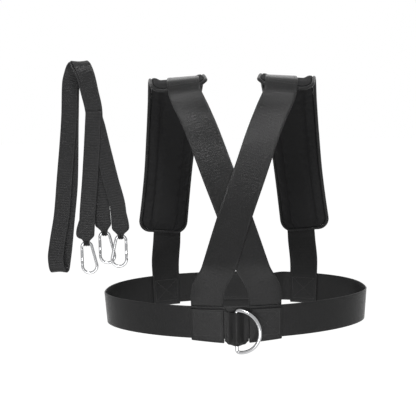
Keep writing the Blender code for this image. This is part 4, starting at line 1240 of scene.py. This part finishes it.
# Stage

def add_camera():
    data = bpy.data.cameras.new("camera")
    data.sensor_width = SENSOR_WIDTH
    data.lens = FOCAL_PIXELS / IMAGE_PIXELS * SENSOR_WIDTH
    data.shift_x = -(CENTRE_PIXELS - IMAGE_PIXELS / 2) / IMAGE_PIXELS
    camera = linked("camera", data)
    tilt = Matrix.Rotation(math.radians(90) - CAMERA_PITCH, 4, "X") @ Matrix.Rotation(-CAMERA_ROLL, 4, "Z")
    camera.matrix_world = Matrix.Translation(CAMERA_PLACE) @ tilt
    bpy.context.scene.camera = camera


def seen_directly(nodes):
    """1 on camera, glossy and transmission rays, and 0 on all others."""
    rays = nodes.add("ShaderNodeLightPath")
    seen = rays["Is Camera Ray"]
    for name in ("Is Glossy Ray", "Is Transmission Ray"):
        seen = nodes.math("MAXIMUM", seen, rays[name])
    return seen


def add_world():
    """A surround that is seen as white and lights the scene softly."""
    world = bpy.data.worlds.new("studio")
    world.use_nodes = True
    bpy.context.scene.world = world
    nodes = Nodes(world.node_tree)
    strength = nodes.spread(seen_directly(nodes), WORLD_LEVEL, 1.0)
    nodes.fill(world.node_tree.nodes["Background"], {"Color": WHITE, "Strength": strength})


def add_floor():
    """A pale floor far below the worn harness. It looks white and still takes shadow."""
    mesh = bmesh.new()
    bmesh.ops.create_grid(mesh, x_segments=1, y_segments=1, size=FLOOR_HALF_SIZE)
    floor = linked("floor", mesh_data("floor", mesh))
    floor.location = (0, 0, FLOOR_HEIGHT)
    finish = Finish("floor", (FLOOR_GREY,) * 3, Roughness=0.9, Specular_IOR_Level=0.0, Emission_Color=WHITE)
    finish.set(Emission_Strength=finish.product(seen_directly(finish), FLOOR_LIFT))
    floor.data.materials.append(finish.material)


def add_light(name, place, target, size, power):
    data = bpy.data.lights.new(name, "AREA")
    data.shape = "RECTANGLE"
    data.size, data.size_y = size
    data.energy = power
    aim = (Vector(target) - Vector(place)).to_track_quat("-Z", "Y")
    linked(name, data).matrix_world = Matrix.Translation(place) @ aim.to_matrix().to_4x4()


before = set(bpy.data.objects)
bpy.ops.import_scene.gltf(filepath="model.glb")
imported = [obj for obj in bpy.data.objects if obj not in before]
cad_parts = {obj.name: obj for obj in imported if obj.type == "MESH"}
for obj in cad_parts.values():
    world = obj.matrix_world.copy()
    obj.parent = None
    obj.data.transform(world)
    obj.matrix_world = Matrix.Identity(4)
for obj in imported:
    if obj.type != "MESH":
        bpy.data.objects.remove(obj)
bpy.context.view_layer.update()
bpy.context.scene.view_settings.view_transform = "Standard"

OUTLINE_X, OUTLINE_Y, OUTLINE_LENGTHS = belt_outline()
BELT_LENGTH = OUTLINE_LENGTHS[-1] - OUTLINE_LENGTHS[0]
RAMP_START = (BELT_LENGTH - BELT_OVERLAP) / 2 - BELT_END_RAMP - WEBBING_THICKNESS
BACK_END = -belt_length_to(BACK_STRAP_X, True)
FRONT_END = belt_length_to(FRONT_STRAP_X, False)
SHOULDER_LENGTHS, SHOULDER_TABLE = shoulder_tables()
PAD_START = shoulder_length_at(PAD_LOW_HEIGHT, False)
PAD_LENGTH = shoulder_length_at(PAD_FRONT_HEIGHT, True) - PAD_START

TAPE_COLOUR = (0.016, 0.016, 0.0165)
LOOKS = {
    "webbing": webbing_finish(
        "harness_webbing", (0.0098, 0.0098, 0.0100), half_width=WEBBING_WIDTH / 2,
        float_length=0.0026, yarn_width=0.0013, rib_pitch=0.0052, rib_share=0.03),
    "lead": webbing_finish(
        "lead_webbing", (0.0165, 0.0165, 0.0170), half_width=LEAD_WIDTH / 2,
        float_length=0.0020, yarn_width=0.0011, rib_pitch=0.0040, rib_share=0.12),
    "binding": webbing_finish(
        "pad_binding", (0.0140, 0.0140, 0.0143), half_width=1.0,
        float_length=0.0012, yarn_width=0.0008, rib_pitch=0.0024, rib_share=0.05),
    "pad": cloth_finish("pad_cloth", (0.0125, 0.0125, 0.013), pitch=0.0011),
    "thread": thread_finish("sewing_thread", (0.0112, 0.0112, 0.0115), ply_pitch=0.0008, ply_lean=9000),
    "loops": tape_finish("loop_tape", TAPE_COLOUR),
    "hooks": tape_finish("hook_tape", TAPE_COLOUR, hook_pitches=(0.0013, 0.0016)),
    "chrome": metal_finish("bright_plating", (0.40, 0.403, 0.41), roughness=0.10, scratches=0.03),
    "steel": metal_finish("spring_steel", (0.55, 0.55, 0.57), roughness=0.30, scratches=0.10),
}

make_belt()
make_straps()
make_keeper()
make_ring()
make_pads()
make_lead()
make_hooks()
dress_kept_nodes()

add_camera()
add_world()
add_floor()
for light in LIGHTS:
    add_light(*light)
